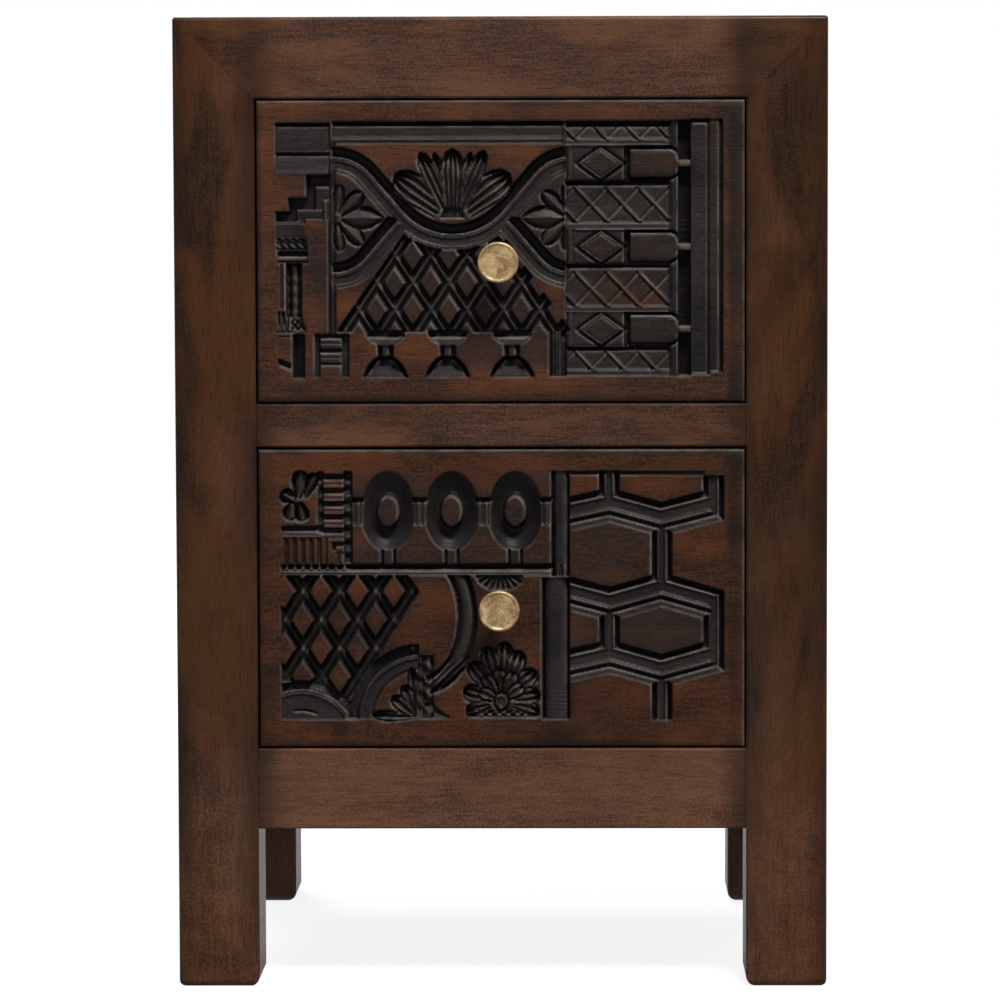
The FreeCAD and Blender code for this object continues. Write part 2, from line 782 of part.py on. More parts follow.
def hinge_tools():
    tabs = [hinge_tab(z) for z in hinge_levels]
    tools = []
    rows = ((field_top, 65.0, 78.6), (42.5, 13.5, 28.6), (-8.5, -38.5, -23.6), (-59.0, field_bottom, -72.6))
    for high, low, middle in rows:
        floor = opened([(high, 0.0), (high, deep), (high - 3.5, shallow), (low + 3.0, shallow), (low, 0.0)])
        tools.append([level(40.0, 104.5, floor).cut(tabs)])
        bottom, top = max(low + 2.5, middle - zigzag_rise), min(high - 3.5, middle + zigzag_rise)
        region = sunk(rectangle(41.0, 103.5, bottom, top), deep)
        cut = vee(1.3, shallow + 1.0, shallow - 0.2)
        tools.append(lattice((55.5, middle), 19.6, zigzag_rise, cut, region))
    for z in hinge_levels:
        diamond = sunk([(48.6, z), (62.0, z - 9.6), (75.4, z), (62.0, z + 9.6)], front_thickness)
        tools.append([sunk(rectangle(45.5, 79.5, z - 10.5, z + 10.2), shallow).cut(diamond)])
    lines = opened([(-3.0, 0.0), (-2.6, mid), (-0.2, 0.8), (1.4, mid), (2.4, shallow), (3.0, 0.0)])
    tools.append([upright(107.2, field_bottom, field_top, lines).cut(tabs)])
    gap = sunk(rectangle(110.0, 117.2, field_bottom, field_top), deep + 1.5)
    tools.append([gap.cut(tabs)])
    tools.append([sunk(rectangle(117.2, 129.0, field_bottom + 1.5, field_top), 1.0)])
    tools.append([sunk(rectangle(129.0, 136.0, field_bottom + 2.5, field_top), 0.6)])
    return tools


def upper_carving():
    band = [(field_top, 0.0), (field_top, mid), (68.5, shallow), (66.0, 0.0)]
    flutes = opened([(-5.0, 0.0), (-4.6, mid), (-3.0, shallow), (-1.6, mid), (0.0, shallow), (1.6, mid),
                     (3.0, shallow), (4.6, deep), (5.2, 0.0)])
    tools = arch_tools() + [with_mirror([petal], lotus_x) for petal in almond_petals()]
    tools += lotus_tools() + [upper_lattice()] + [[vase(x)] for x in vase_places]
    tools += [[level(-103.0, 38.5, opened(band))], [upright(35.0, field_bottom, -49.0, flutes)]]
    return tools + column_tools() + hinge_tools()


# Lower front: ovals on stems, honeycomb mouldings, a lattice, arches, a horn and a rosette
oval_places = (-71.5, -32.0, 7.5)
oval_z = 54.5
foot_z = -76.5


def oval_tools():
    tools = []
    arms = [(62.0, 0.0), (61.0, mid), (48.0, mid), (45.5, 0.0)]
    stem = opened([(-4.6, 0.0), (-4.0, mid), (4.0, mid), (4.6, 0.0)])
    for x in oval_places:
        centre = (x, oval_z)
        ring = oval_plug(centre, 17.0, 26.2, -over, deep, 0.64)
        boss = oval_plug(centre, 6.2, 9.4, 0.3, deep, 1.5)
        tools.append([ring.cut(boss)])
        tools.append([upright(x, 20.0, oval_z - 22.0, stem)])
    ends = [-94.0] + [x + side * 14.5 for x in oval_places for side in (-1, 1)] + [30.5]
    for start, end in zip(ends[::2], ends[1::2]):
        tools.append([level(start, end, opened(arms))])
    return tools


def honeycomb_tools():
    moulding = opened([(9.4, 0.0), (8.4, deep), (5.0, deep), (4.0, 2.0), (-4.0, 2.0), (-4.9, 3.6),
                       (-9.4, 0.0)])
    strut = opened([(-6.6, 0.0), (-5.8, 4.2), (-2.8, deep), (-2.0, 2.4), (2.0, 2.4), (2.8, deep),
                    (5.8, 4.2), (6.6, 0.0)])
    paths = ([(41.5, 52.3), (66.0, 57.5), (98.0, 48.8), (137.0, 58.8)],
             [(41.5, 2.5), (66.0, -4.0), (98.0, 5.0), (137.0, -6.2)],
             [(41.5, -42.5), (66.0, -37.0), (98.0, -46.0), (137.0, -35.0)])
    struts = ((65.8, 62.0, 79.0), (130.4, 58.0, 75.0), (98.5, 10.0, 44.0), (66.0, -36.0, -5.0),
              (130.4, -37.0, -3.0), (98.5, foot_z, -50.0))
    tools = [[upright(x, z0, z1, strut)] for x, z0, z1 in struts]
    for path in paths:
        tools += [[slanted(start, end, moulding)] for start, end in zip(path, path[1:])]
    tools.append([slanted((41.0, 77.8), (124.0, 77.4), vee(1.3, shallow))])
    return tools


def lower_lattice():
    corners = [(-138.0, 13.8), (-60.5, 13.8), (-51.8, 1.0), (-92.0, -60.0), (-103.0, -60.0),
               (-114.0, -54.0), (-138.0, -53.0)]
    region = sunk(corners, front_thickness)
    return lattice((-125.0, 4.0), 22.7, 17.0, vee(4.2, deep), region)


def ladder_tools():
    post = opened([(-1.9, 0.0), (-1.5, mid), (1.5, mid), (1.9, 0.0)])
    tools = [[upright(-113.2, 43.0, 79.0, post), upright(-96.2, 20.0, 79.0, post)]]
    rung = vee(1.5, shallow)
    tools.append([slanted((-111.5, z), (-98.0, z), rung) for z in (76.0, 67.2, 59.0, 51.0, 42.5)])
    tools.append([level(-138.0, -111.5, opened([(45.0, 0.0), (44.6, mid), (42.4, mid), (39.5, 0.0)]))])
    tools.append([upright(x, 21.0, 38.0, vee(1.7, 1.1)) for x in (-132.0, -126.8, -121.6, -116.4, -111.2)])
    hook = [(-106, 34.5), (-98, 34.5), (-98, 32.8), (-104, 32.8), (-104, 30.5), (-106, 30.5)]
    tools.append([sunk(hook, shallow)])
    tools.append([level(-138.0, 30.5, opened([(21.0, 0.0), (20.6, 4.2), (17.8, 4.2), (13.6, 0.0)]))])
    heart = (-127.5, 60.5)
    for tip in ((-125.0, 79.0), (-138.0, 66.0), (-116.8, 66.0), (-135.5, 49.5), (-123.5, 48.0)):
        tools.append([leaf((heart[0] * 0.8 + tip[0] * 0.2, heart[1] * 0.8 + tip[1] * 0.2), tip, 4.2, mid)])
    return tools


def arc_tools():
    field = sunk(rectangle(-138.0, -92.0, foot_z, -40.0), front_thickness)
    dome = opened([(3.0, deep), (-2.0, deep), (-2.0, shallow), (-19.0, mid)])
    tools = [[swung((-126.0, -95.0), 37.0, 25.0, 90.0, dome).common(field)]]
    arch_field = sunk(rectangle(-98.0, -53.0, foot_z, -20.0), front_thickness)
    arch = opened([(7.5, deep), (1.0, deep), (1.0, shallow), (-8.0, 0.0)])
    tools.append([swung((-50.0, -76.0), 39.0, 88.0, 94.0, arch).common(arch_field)])
    for tip, half in (((-62.5, -56.5), 4.0), ((-70.0, -63.0), 4.0), ((-82.0, -73.5), 3.2)):
        tools.append([leaf((-55.5, -73.0), tip, half, mid)])
    stem = opened([(-4.2, 0.0), (-3.6, mid), (-1.0, shallow), (3.4, deep), (4.2, 0.0)])
    tools.append([upright(-47.4, -70.0, -36.0, stem)])
    base = [(-51.6, foot_z), (-33.0, foot_z), (-40.0, -70.5), (-47.0, -66.0), (-51.6, -66.0)]
    tools.append([sunk(base, mid)])
    return tools


def horn_tools():
    section = opened([(-6.2, deep), (0.0, mid), (6.2, deep)])
    upper = swung((-86.0, -12.0), 63.5, -21.5, 45.6, section)
    lower = swung((-55.0, -27.0), 29.0, -72.0, 56.0, section)
    scallop = [(-18.0, 14.4), (12.5, 14.4), (10.5, 8.0), (5.0, 5.0), (-9.0, 5.0), (-14.5, 8.0)]
    return [[upper], [lower], [sunk(scallop, mid)]]


def rosette_tools():
    heart = (-1.5, -65.0)
    outer = ((1.0, -27.5, 4.4), (-10.5, -30.5, 4.6), (10.5, -33.0, 4.6), (-20.5, -41.0, 4.8),
             (20.0, -46.5, 4.8), (-25.0, -60.0, 5.0), (22.0, -63.5, 5.0))
    inner = ((-3.0, -44.0, 4.0), (7.5, -47.5, 3.6), (-12.5, -49.0, 3.6), (12.0, -58.0, 3.4),
             (-15.5, -60.5, 3.4))
    tools = []
    for (x, z, half), start in [(petal, 0.5) for petal in outer] + [(petal, 0.3) for petal in inner]:
        base = (heart[0] + (x - heart[0]) * start, heart[1] + (z - heart[1]) * start)
        tools.append([leaf(base, (x, z), half, mid, 0.6)])
    ring = oval_plug(heart, 5.2, 7.2, -over, mid, 0.72)
    boss = oval_plug(heart, 2.5, 3.6, 0.2, mid, 1.34)
    tools.append([ring.cut(boss)])
    return tools


def lower_carving():
    posts = [[half_round(30.0, 41.4, 13.5, 79.0, shallow, deep)],
             [half_round(24.0, 41.4, foot_z, 12.5, 1.0, deep)]]
    tools = oval_tools() + honeycomb_tools() + posts + [lower_lattice()]
    return tools + ladder_tools() + arc_tools() + horn_tools() + rosette_tools()


# One file for each node
def save(name, shape):
    shape.exportStep(os.path.join("parts", name + ".step"))


def save_group(name, solids):
    save(name, Part.makeCompound(solids))


def save_carcass():
    for end, end_name in ((front, "front"), (rear, "rear")):
        for side, side_name in ((left, "left"), (right, "right")):
            save(end_name + "_" + side_name + "_leg", leg(side, end))
        save("top_rail_" + end_name, top_rail_across(end))
    for side, side_name in ((left, "left"), (right, "right")):
        save("top_rail_" + side_name, top_rail_along(side))
        save("side_panel_" + side_name, side_panel(side))
        save("bottom_rail_" + side_name, bottom_rail_along(side))
        save("upper_runner_" + side_name, runner(side, divider_top, upper_runner_rear, panel_x))
        save("lower_runner_" + side_name, runner(side, apron_top, lower_runner_rear, rail_x))
        save("upper_guide_" + side_name, guide(side, divider_top))
        save("lower_guide_" + side_name, guide(side, apron_top))
    save("top_panel", top_panel())
    save("back_panel", back_panel())
    save("bottom_board", bottom_board())
    save("drawer_divider", front_rail(divider_bottom, divider_top, upper_runner_rear))
    divider = cross_rail(rear_divider_y, -1, divider_bottom, divider_top)
    save("rear_divider", divider.cut(runner_mortises(divider_top, upper_runner_rear)))
    apron = front_rail(apron_bottom, apron_top, lower_runner_rear)
    save("bottom_rail_front", apron.cut(grown(bottom_space(), slack)))
    save("bottom_rail_rear", bottom_rail_rear())
    corners = [(side, end) for side in (left, right) for end in (front, rear)]
    save_group("corner_pegs", [peg for place in corners for peg in pegs_at(*place, 0.0)])
    places = [(side, top) for side in (left, right) for top in (divider_top, apron_top)]
    save_group("guide_nails", [nail for place in places for nail in guide_nails(*place, 0.0)])
    save_group("drawer_stops", [stop_block(*place) for place in places])


def save_drawer(name, opening_bottom, front_height, knob_drop, tools):
    face = front_y + front_setback
    base = opening_bottom + drawer_lift
    bottom = opening_bottom + front_gap
    knob_z = bottom + front_height / 2 - knob_drop
    save(name + "_drawer_front", drawer_front(face, base, bottom, front_height, knob_z, tools))
    save(name + "_drawer_left", drawer_side(left, face, base))
    save(name + "_drawer_right", drawer_side(right, face, base))
    save(name + "_drawer_back", drawer_back(face, base))
    save(name + "_drawer_bottom", drawer_bottom(face, base))
    save_group(name + "_drawer_nails", nails(face, base, 0.0))
    save(name + "_knob", knob(knob_z, face))
    save(name + "_knob_screw", knob_screw(knob_z, face))
    save(name + "_knob_washer", knob_washer(knob_z, face))


os.makedirs("parts", exist_ok=True)
save_carcass()
save_drawer("upper", divider_top, upper_front_height, upper_knob_drop, upper_carving())
save_drawer("lower", apron_top, lower_front_height, lower_knob_drop, lower_carving())
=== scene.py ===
import itertools
import math

import bpy
import numpy as np
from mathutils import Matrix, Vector


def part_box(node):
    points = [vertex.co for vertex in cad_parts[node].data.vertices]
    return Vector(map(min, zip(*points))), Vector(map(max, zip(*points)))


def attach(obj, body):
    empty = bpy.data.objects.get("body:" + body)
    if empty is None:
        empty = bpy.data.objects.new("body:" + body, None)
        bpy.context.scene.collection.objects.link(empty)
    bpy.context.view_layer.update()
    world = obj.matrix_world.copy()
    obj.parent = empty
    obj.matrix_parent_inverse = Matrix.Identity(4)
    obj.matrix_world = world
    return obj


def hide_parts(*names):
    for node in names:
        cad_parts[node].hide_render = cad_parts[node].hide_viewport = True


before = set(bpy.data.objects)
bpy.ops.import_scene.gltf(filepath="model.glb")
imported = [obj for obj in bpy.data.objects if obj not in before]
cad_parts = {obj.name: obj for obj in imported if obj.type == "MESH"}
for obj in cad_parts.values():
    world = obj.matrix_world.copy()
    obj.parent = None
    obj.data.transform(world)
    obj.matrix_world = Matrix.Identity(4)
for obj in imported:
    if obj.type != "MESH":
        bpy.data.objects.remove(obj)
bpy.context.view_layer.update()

scene = bpy.context.scene
levels = ("upper", "lower")
print("frame loaded:", len(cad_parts), "nodes")


# Node trees
def tone(red, green, blue):
    parts = [c / 255 for c in (red, green, blue)]
    return [c / 12.92 if c <= 0.04045 else ((c + 0.055) / 1.055) ** 2.4 for c in parts] + [1.0]


def tones(**named):
    return {name: tone(*parts) for name, parts in named.items()}


def fill(node, inputs):
    # Links the sockets among the inputs and sets the plain values
    for key, value in inputs.items():
        if isinstance(value, bpy.types.NodeSocket):
            node.id_data.links.new(value, node.inputs[key])
        else:
            node.inputs[key].default_value = value


def add(tree, kind, inputs=None, **settings):
    made = tree.nodes.new(kind)
    for key, value in settings.items():
        setattr(made, key, value)
    fill(made, inputs or {})
    return made


def join(kind, values, **settings):
    # A node in the tree of its first linked value, with the values on its inputs in order
    tree = next(value.node.id_data for value in values if isinstance(value, bpy.types.NodeSocket))
    return add(tree, kind, dict(enumerate(values)), **settings).outputs


def calc(operation, *values):
    return join("ShaderNodeMath", values, operation=operation)[0]


def times(first, second):
    return calc("MULTIPLY", first, second)


def vectorCalc(operation, *values):
    return join("ShaderNodeVectorMath", values, operation=operation)


def spread(value, low, high, start=0.0, end=1.0):
    return join("ShaderNodeMapRange", (value, low, high, start, end), interpolation_type="SMOOTHSTEP")[0]


def blendColour(share, first, second):
    inputs = {0: share, 6: first, 7: second}
    return add(share.node.id_data, "ShaderNodeMix", inputs, data_type="RGBA").outputs[2]


def noise(vector, scale, detail=4.0, roughness=0.55, distortion=0.0):
    inputs = {"Vector": vector, "Scale": scale, "Detail": detail, "Roughness": roughness,
        "Distortion": distortion}
    return add(vector.node.id_data, "ShaderNodeTexNoise", inputs).outputs["Fac"]


def newGroup(name, *vectors):
    group = bpy.data.node_groups.new(name, "ShaderNodeTree")
    for label in vectors:
        group.interface.new_socket(label, in_out="INPUT", socket_type="NodeSocketVector")
    return group, group.nodes.new("NodeGroupInput").outputs


def closeGroup(group, results):
    for label in results:
        group.interface.new_socket(label, in_out="OUTPUT", socket_type="NodeSocketFloat")
    add(group, "NodeGroupOutput", results)
    return group


def useGroup(tree, group, **inputs):
    return add(tree, "ShaderNodeGroup", inputs, node_tree=group).outputs


def newMaterial(name):
    material = bpy.data.materials.new(name)
    material.use_nodes = True
    return material, material.node_tree


def finishMaterial(colour, roughness, height, bump, metallic=0.0, shine=0.12, wax=0.0, waxRoughness=0.22):
    # Ends a material in one Principled shader with a bump
    tree = colour.node.id_data
    relief = add(tree, "ShaderNodeBump", {"Strength": bump[0], "Distance": bump[1], "Height": height})
    fill(tree.nodes["Principled BSDF"], {
        "Base Color": colour, "Roughness": roughness, "Metallic": metallic, "Specular IOR Level": shine,
        "Coat Weight": wax, "Coat Roughness": waxRoughness, "Normal": relief.outputs["Normal"]})


# Wood: a noise is scale, detail, roughness, distortion, a slow one after its shares of place and grain
grainLook = {"runs": {"x": (14, 210, 210), "y": (210, 14, 210), "z": (210, 210, 14)},
    "along": {"broad": (0.35, 5, 0.6, 0.8), "fine": (3.2, 8, 0.75, 0.3), "pores": (5, 3, 0.6)},
    "even": {"mottle": (85, 6, 0.7, 0.5), "speckle": (620, 3, 0.6), "rare": (38, 1)},
    "slow": {"patches": (10, 0.1, 0.9, 3, 0.5, 0.5), "clouds": (12, 0.05, 0.8, 4, 0.52, 0.5)},
    "streakShares": {"broad": 0.08, "fine": 0.38, "mottle": 0.14, "speckle": 0.40},
    "streakRange": (0.42, 0.58), "patchRange": (0.40, 0.60), "poreRange": (0.57, 0.66), "poreShare": 0.6,
    "pitScale": 95, "pitRange": (0.04, 0.07, 1, 0), "pitsAbove": 0.56, "fineHeight": 0.6,
    "warmShare": 0.42, "cloudRange": (0.45, 0.75, 0, 0.3), "markShare": 0.75}


def woodGrainGroup(look):
    # Streaks, patches, pores and a bump height for any wood; Run stretches them along the grain
    group, given = newGroup("woodGrain", "Place", "Run")
    place = given["Place"]
    stretched = vectorCalc("MULTIPLY", place, given["Run"])[0]
    made = {name: noise(stretched, *settings) for name, settings in look["along"].items()}
    for name, settings in look["even"].items():
        made[name] = noise(place, *settings)
    for name, (even, drawn, *settings) in look["slow"].items():
        scaled = vectorCalc("MULTIPLY", place, (even,) * 3)[0]
        slow = vectorCalc("MULTIPLY_ADD", stretched, (drawn,) * 3, scaled)[0]
        made[name] = noise(slow, *settings)
    pores = times(spread(made["pores"], *look["poreRange"]), look["poreShare"])
    dots = add(group, "ShaderNodeTexVoronoi", {"Vector": place, "Scale": look["pitScale"]}, feature="F1")
    rare = calc("GREATER_THAN", made["rare"], look["pitsAbove"])
    pits = times(spread(dots.outputs["Distance"], *look["pitRange"]), rare)
    marks = calc("MAXIMUM", pores, pits)
    streaks = 0.0
    for name, share in look["streakShares"].items():
        streaks = calc("MULTIPLY_ADD", made[name], share, streaks)
    height = calc("SUBTRACT", times(made["fine"], look["fineHeight"]), marks)
    return closeGroup(group, {
        "Streaks": spread(streaks, *look["streakRange"]),
        "Patches": spread(made["patches"], *look["patchRange"]),
        "Clouds": made["clouds"], "Marks": marks, "Height": height})


woodGrain = woodGrainGroup(grainLook)


def grainIn(tree, run):
    place = add(tree, "ShaderNodeTexCoord").outputs["Object"]
    return place, useGroup(tree, woodGrain, Place=place, Run=grainLook["runs"][run])


def grained(grain, wood):
    colour = blendColour(grain["Streaks"], wood["dark"], wood["mid"])
    colour = blendColour(times(grain["Patches"], grainLook["warmShare"]), colour, wood["warm"])
    colour = blendColour(spread(grain["Clouds"], *grainLook["cloudRange"]), colour, wood["dark"])
    return blendColour(times(grain["Marks"], grainLook["markShare"]), colour, wood["marks"])


woodLook = {"panel": tones(dark=(46, 32, 25), mid=(74, 50, 37), warm=(92, 60, 40), marks=(24, 18, 15)),
    "inner": tones(dark=(120, 88, 58), mid=(158, 120, 82), warm=(176, 134, 90), marks=(84, 60, 40)),
    "rough": (0, 1, 0.55, 0.42), "bump": (0.35, 0.0004)}


def woodMaterial(kind, run):
    material, tree = newMaterial(kind + "Wood" + run.upper())
    grain = grainIn(tree, run)[1]
    rough = spread(grain["Streaks"], *woodLook["rough"])
    finishMaterial(grained(grain, woodLook[kind]), rough, grain["Height"], woodLook["bump"])
    return material


# Wear of the frame: a range runs from one measure to another, then come the values there
wearLook = {"corner": 0.051, "jointLine": (0.0001, 0.0007, 1, 0), "jointFade": (0.004, 0.03),
    "jointNoise": (40,), "jointGaps": (0.35, 0.6, 0.2, 0.9),
    "towardRails": (0.11, 0.19, 0.9, 0), "towardTop": (0.53, 0.6, 0, 0.2),
    "towardFloor": (0.1, 0.16, 0.3, 0), "unevenNoise": (11, 4, 0.6, 0.5),
    "uneven": (0.35, 0.65, -0.25, 0.25), "opening": 0.151, "besideDrawers": (0, 0.022, 0.9, 0),
    "outerEdge": (0.001, 0.014, 0.9, 0), "sootNoise": (11, 3, 0.5, 0.3),
    "sootGaps": (0.36, 0.62, 0.15, 1), "butt": (0.0002, 0.0009, 0.7, 0),
    # The low band is painted light toward the feet, against the lamp's falloff
    "buttBelow": 0.054, "low": (0.1, 0.26, 1, 0), "paintedLowLightWave": 0.1}


def frameWearGroup(look):
    # Where the frame is pale like its rails, darker beside the drawers and at its outer edges, or shows a
    # joint; also painted light that makes it paler toward the feet to even out the lamp's falloff
    group, given = newGroup("frameWear", "Place")

    def ranged(value, name):
        return spread(value, *look[name])

    def cloud(name):
        return noise(given["Place"], *look[name])

    low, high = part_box("front_left_leg")[0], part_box("rear_right_leg")[1]
    parts = add(group, "ShaderNodeSeparateXYZ", {0: given["Place"]}).outputs
    side = calc("ABSOLUTE", parts["X"])
    behind, before = calc("SUBTRACT", parts["Y"], low[1]), calc("SUBTRACT", high[1], parts["Y"])
    inX, inZ = calc("SUBTRACT", high[0], side), calc("SUBTRACT", high[2], parts["Z"])
    inY = calc("MINIMUM", behind, before)
    joint = 0.0
    for first, second in ((inX, inZ), (inY, inZ), (inX, inY)):
        line = ranged(calc("ABSOLUTE", calc("SUBTRACT", first, second)), "jointLine")
        line = times(line, ranged(calc("MINIMUM", first, second), "jointFade"))
        near = calc("LESS_THAN", calc("MAXIMUM", first, second), look["corner"])
        joint = calc("MAXIMUM", joint, times(line, near))
    joint = times(joint, ranged(cloud("jointNoise"), "jointGaps"))
    uneven = cloud("unevenNoise")
    pale = ranged(side, "towardRails")
    for value, name in ((parts["Z"], "towardTop"), (parts["Z"], "towardFloor"), (uneven, "uneven")):
        pale = calc("ADD", pale, ranged(value, name))
    # Darker beside the drawer openings and along the legs' outer edges
    beside = calc("ABSOLUTE", calc("SUBTRACT", side, look["opening"]))
    outer = ranged(calc("MAXIMUM", inX, inY), "outerEdge")
    soot = calc("MAXIMUM", ranged(beside, "besideDrawers"), outer)
    butt = times(ranged(beside, "butt"), calc("GREATER_THAN", inZ, look["buttBelow"]))
    # Painted light: paler toward the feet, wavy at its top, to even out the lamp's falloff
    wavy = calc("MULTIPLY_ADD", uneven, look["paintedLowLightWave"], parts["Z"])
    return closeGroup(group, {
        "Pale": spread(pale, 0.0, 1.0), "Joint": joint, "Butt": butt, "Low": ranged(wavy, "low"),
        "DarkBands": times(soot, ranged(cloud("sootNoise"), "sootGaps"))})


frameWear = frameWearGroup(wearLook)
# The foot tones are the paler colours of the painted light toward the feet
legLook = tones(dark=(31, 19, 11), mid=(60, 37, 19), warm=(93, 55, 26), marks=(15, 11, 9),
    foot=(112, 68, 35))
railLook = tones(dark=(54, 37, 30), mid=(93, 63, 48), warm=(118, 78, 53), marks=(20, 14, 11),
    foot=(134, 91, 62))
frameLook = {"wax": 0.16, "rough": (0, 1, 0.52, 0.4), "paintedLowLightShare": 0.42, "sootShare": 0.78}


def frameMaterial(run):
    material, tree = newMaterial("frameWood" + run.upper())
    place, grain = grainIn(tree, run)
    spots = useGroup(tree, frameWear, Place=place)
    wood = {key: blendColour(spots["Pale"], legLook[key], railLook[key]) for key in legLook}
    colour = grained(grain, wood)
    # Painted light toward the feet, blended from the foot tones
    litFootColour = blendColour(grain["Streaks"], wood["mid"], wood["foot"])
    colour = blendColour(times(spots["Low"], frameLook["paintedLowLightShare"]), colour, litFootColour)
    # Darker bands beside the drawers and at the outer edges
    colour = blendColour(times(spots["DarkBands"], frameLook["sootShare"]), colour, legLook["dark"])
    for line in ("Joint", "Butt") if run == "x" else ("Joint",):
        colour = blendColour(spots[line], colour, legLook["marks"])
    rough = spread(grain["Streaks"], *frameLook["rough"])
    height = calc("SUBTRACT", grain["Height"], spots["Joint"])
    finishMaterial(colour, rough, height, woodLook["bump"], wax=frameLook["wax"])
    return material


metalLook = {"steel": tones(bright=(120, 118, 114), dark=(58, 52, 48), pale=(120, 118, 114)),
    "brass": tones(bright=(212, 178, 128), dark=(142, 110, 70), pale=(238, 214, 172)),
    "metallic": {"steel": 0.9, "brass": 0.3}, "shine": 0.5, "bump": (0.25, 0.0002),
    "cloud": (130, 5, 0.62, 0.4), "cloudRange": (0.38, 0.66), "rough": (0, 1, 0.52, 0.34),
    "worn": (420, 6, 0.7, 0.8), "wornRange": (0.45, 0.70), "paleShare": 0.45,
    "fleck": (900, 2, 0.5), "fleckRange": (0.62, 0.72, 0, 0.8)}


def metalMaterial(name):
    look, metal = metalLook, metalLook[name]
    material, tree = newMaterial(name)
    place = add(tree, "ShaderNodeTexCoord").outputs["Object"]
    cloud, worn, fleck = [spread(noise(place, *look[part]), *look[part + "Range"])
        for part in ("cloud", "worn", "fleck")]
    colour = blendColour(cloud, metal["dark"], metal["bright"])
    colour = blendColour(times(worn, look["paleShare"]), colour, metal["pale"])
    colour = blendColour(fleck, colour, metal["dark"])
    height = calc("SUBTRACT", worn, fleck)
    rough = spread(cloud, *look["rough"])
    finishMaterial(colour, rough, height, look["bump"], look["metallic"][name], look["shine"])
    return material


brass = metalMaterial("brass")
finishes = ((frameMaterial("x"), "top_rail_{end} bottom_rail_{end} drawer_divider"),
    (frameMaterial("y"), "top_rail_{side} bottom_rail_{side}"),
    (frameMaterial("z"), "{end}_{side}_leg"),
    (woodMaterial("panel", "x"), "top_panel"),
    (woodMaterial("panel", "z"), "side_panel_{side} back_panel"),
    (woodMaterial("inner", "x"), "{level}_drawer_back {level}_drawer_bottom rear_divider "
        "bottom_board drawer_stops corner_pegs"),
    (woodMaterial("inner", "y"), "{level}_runner_{side} {level}_guide_{side} {level}_drawer_{side}"),
    (metalMaterial("steel"), "{level}_drawer_nails {level}_knob_screw guide_nails"),
    (brass, "{level}_knob_washer"))
for material, patterns in finishes:
    for end, side, level in itertools.product(("front", "rear"), ("left", "right"), levels):
        for name in patterns.format(end=end, side=side, level=level).split():
            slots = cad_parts[name].data.materials
            slots.clear()
            slots.append(material)
print("wood and metal put on the frame's nodes")


# Carving: all in mm from the middle of a drawer front, x across and z up, depth into the wood
def ramp(value, low, high):
    share = np.clip((value - low) / (high - low), 0.0, 1.0)
    return share * share * (3.0 - 2.0 * share)


def shaped(value, *points):
    # Piecewise profile through (place, depth) points
    places, depths = zip(*sorted(points))
    return np.interp(value, places, depths)


def beads(first, second):
    return np.sqrt(np.clip(np.cos(first) * np.cos(second), 0.0, 1.0))


def inBox(x, z, x0, x1, z0, z1):
    return np.minimum(np.minimum(x - x0, x1 - x), np.minimum(z - z0, z1 - z))


def fromLine(x, z, start, end):
    ex, ez = end[0] - start[0], end[1] - start[1]
    share = np.clip(((x - start[0]) * ex + (z - start[1]) * ez) / (ex * ex + ez * ez), 0.0, 1.0)
    return np.hypot(x - start[0] - share * ex, z - start[1] - share * ez)


def fromArc(x, z, centre, radius, start, end):
    # Distance from an arc between two angles, far away beyond its ends
    angle = np.degrees(np.arctan2(z - centre[1], x - centre[0]))
    away = np.abs(np.hypot(x - centre[0], z - centre[1]) - radius)
    return np.where((angle > start) & (angle < end), away, 99.0)


def inPolygon(x, z, points):
    # Distance to the outline, positive inside
    nearest = np.full(x.shape, 1e9)
    inside = np.zeros(x.shape, bool)
    for (ax, az), (bx, bz) in zip(points, points[1:] + points[:1]):
        nearest = np.minimum(nearest, fromLine(x, z, (ax, az), (bx, bz)))
        if az != bz:
            inside ^= ((az > z) != (bz > z)) & (x < (bx - ax) * (z - az) / (bz - az) + ax)
    return np.where(inside, nearest, -nearest)


def along(start, end, share):
    return start[0] + share * (end[0] - start[0]), start[1] + share * (end[1] - start[1])


def around(centre, degrees, reach):
    turn = math.radians(degrees)
    return centre[0] + reach * math.cos(turn), centre[1] + reach * math.sin(turn)


class Relief:
    # The depth cut so far at the points of one board
    def __init__(self, x, z):
        self.x, self.z, self.depth = x, z, np.zeros(x.shape)

    def deepen(self, floor, where=True):
        self.depth = np.maximum(self.depth, np.where(where, floor, 0.0))

    def cover(self, floor, where):
        self.depth = np.where(where, floor, self.depth)

    def sink(self, inside, floor, wall=0.5):
        self.deepen(floor * ramp(inside, 0.0, wall))

    def box(self, edges, floor, wall=0.5):
        self.sink(inBox(self.x, self.z, *edges), floor, wall)

    def polygon(self, points, floor, wall=0.5):
        self.sink(inPolygon(self.x, self.z, points), floor, wall)

    def groove(self, start, end, half, deep):
        away = fromLine(self.x, self.z, start, end)
        self.deepen(deep * np.clip(1.0 - away / half, 0.0, 1.0) ** 0.7)


petalLook = {"pointed": ((0, 0.35), (0.3, 0.72), (0.6, 1), (0.82, 0.86), (0.93, 0.58), (1, 0)),
    "broad": ((0, 0.7), (0.3, 0.84), (0.6, 1), (0.8, 0.86), (0.93, 0.55), (1, 0)),
    "almond": ((0, 0), (0.12, 0.42), (0.3, 0.85), (0.5, 1), (0.7, 0.85), (0.88, 0.42), (1, 0)),
    "lens": ((0, 0.3), (0.6, 2), (0.8, 3.4), (1, 3.4)), "reed": (1.5, 0.95), "tipFrom": (0.5, 0.95)}


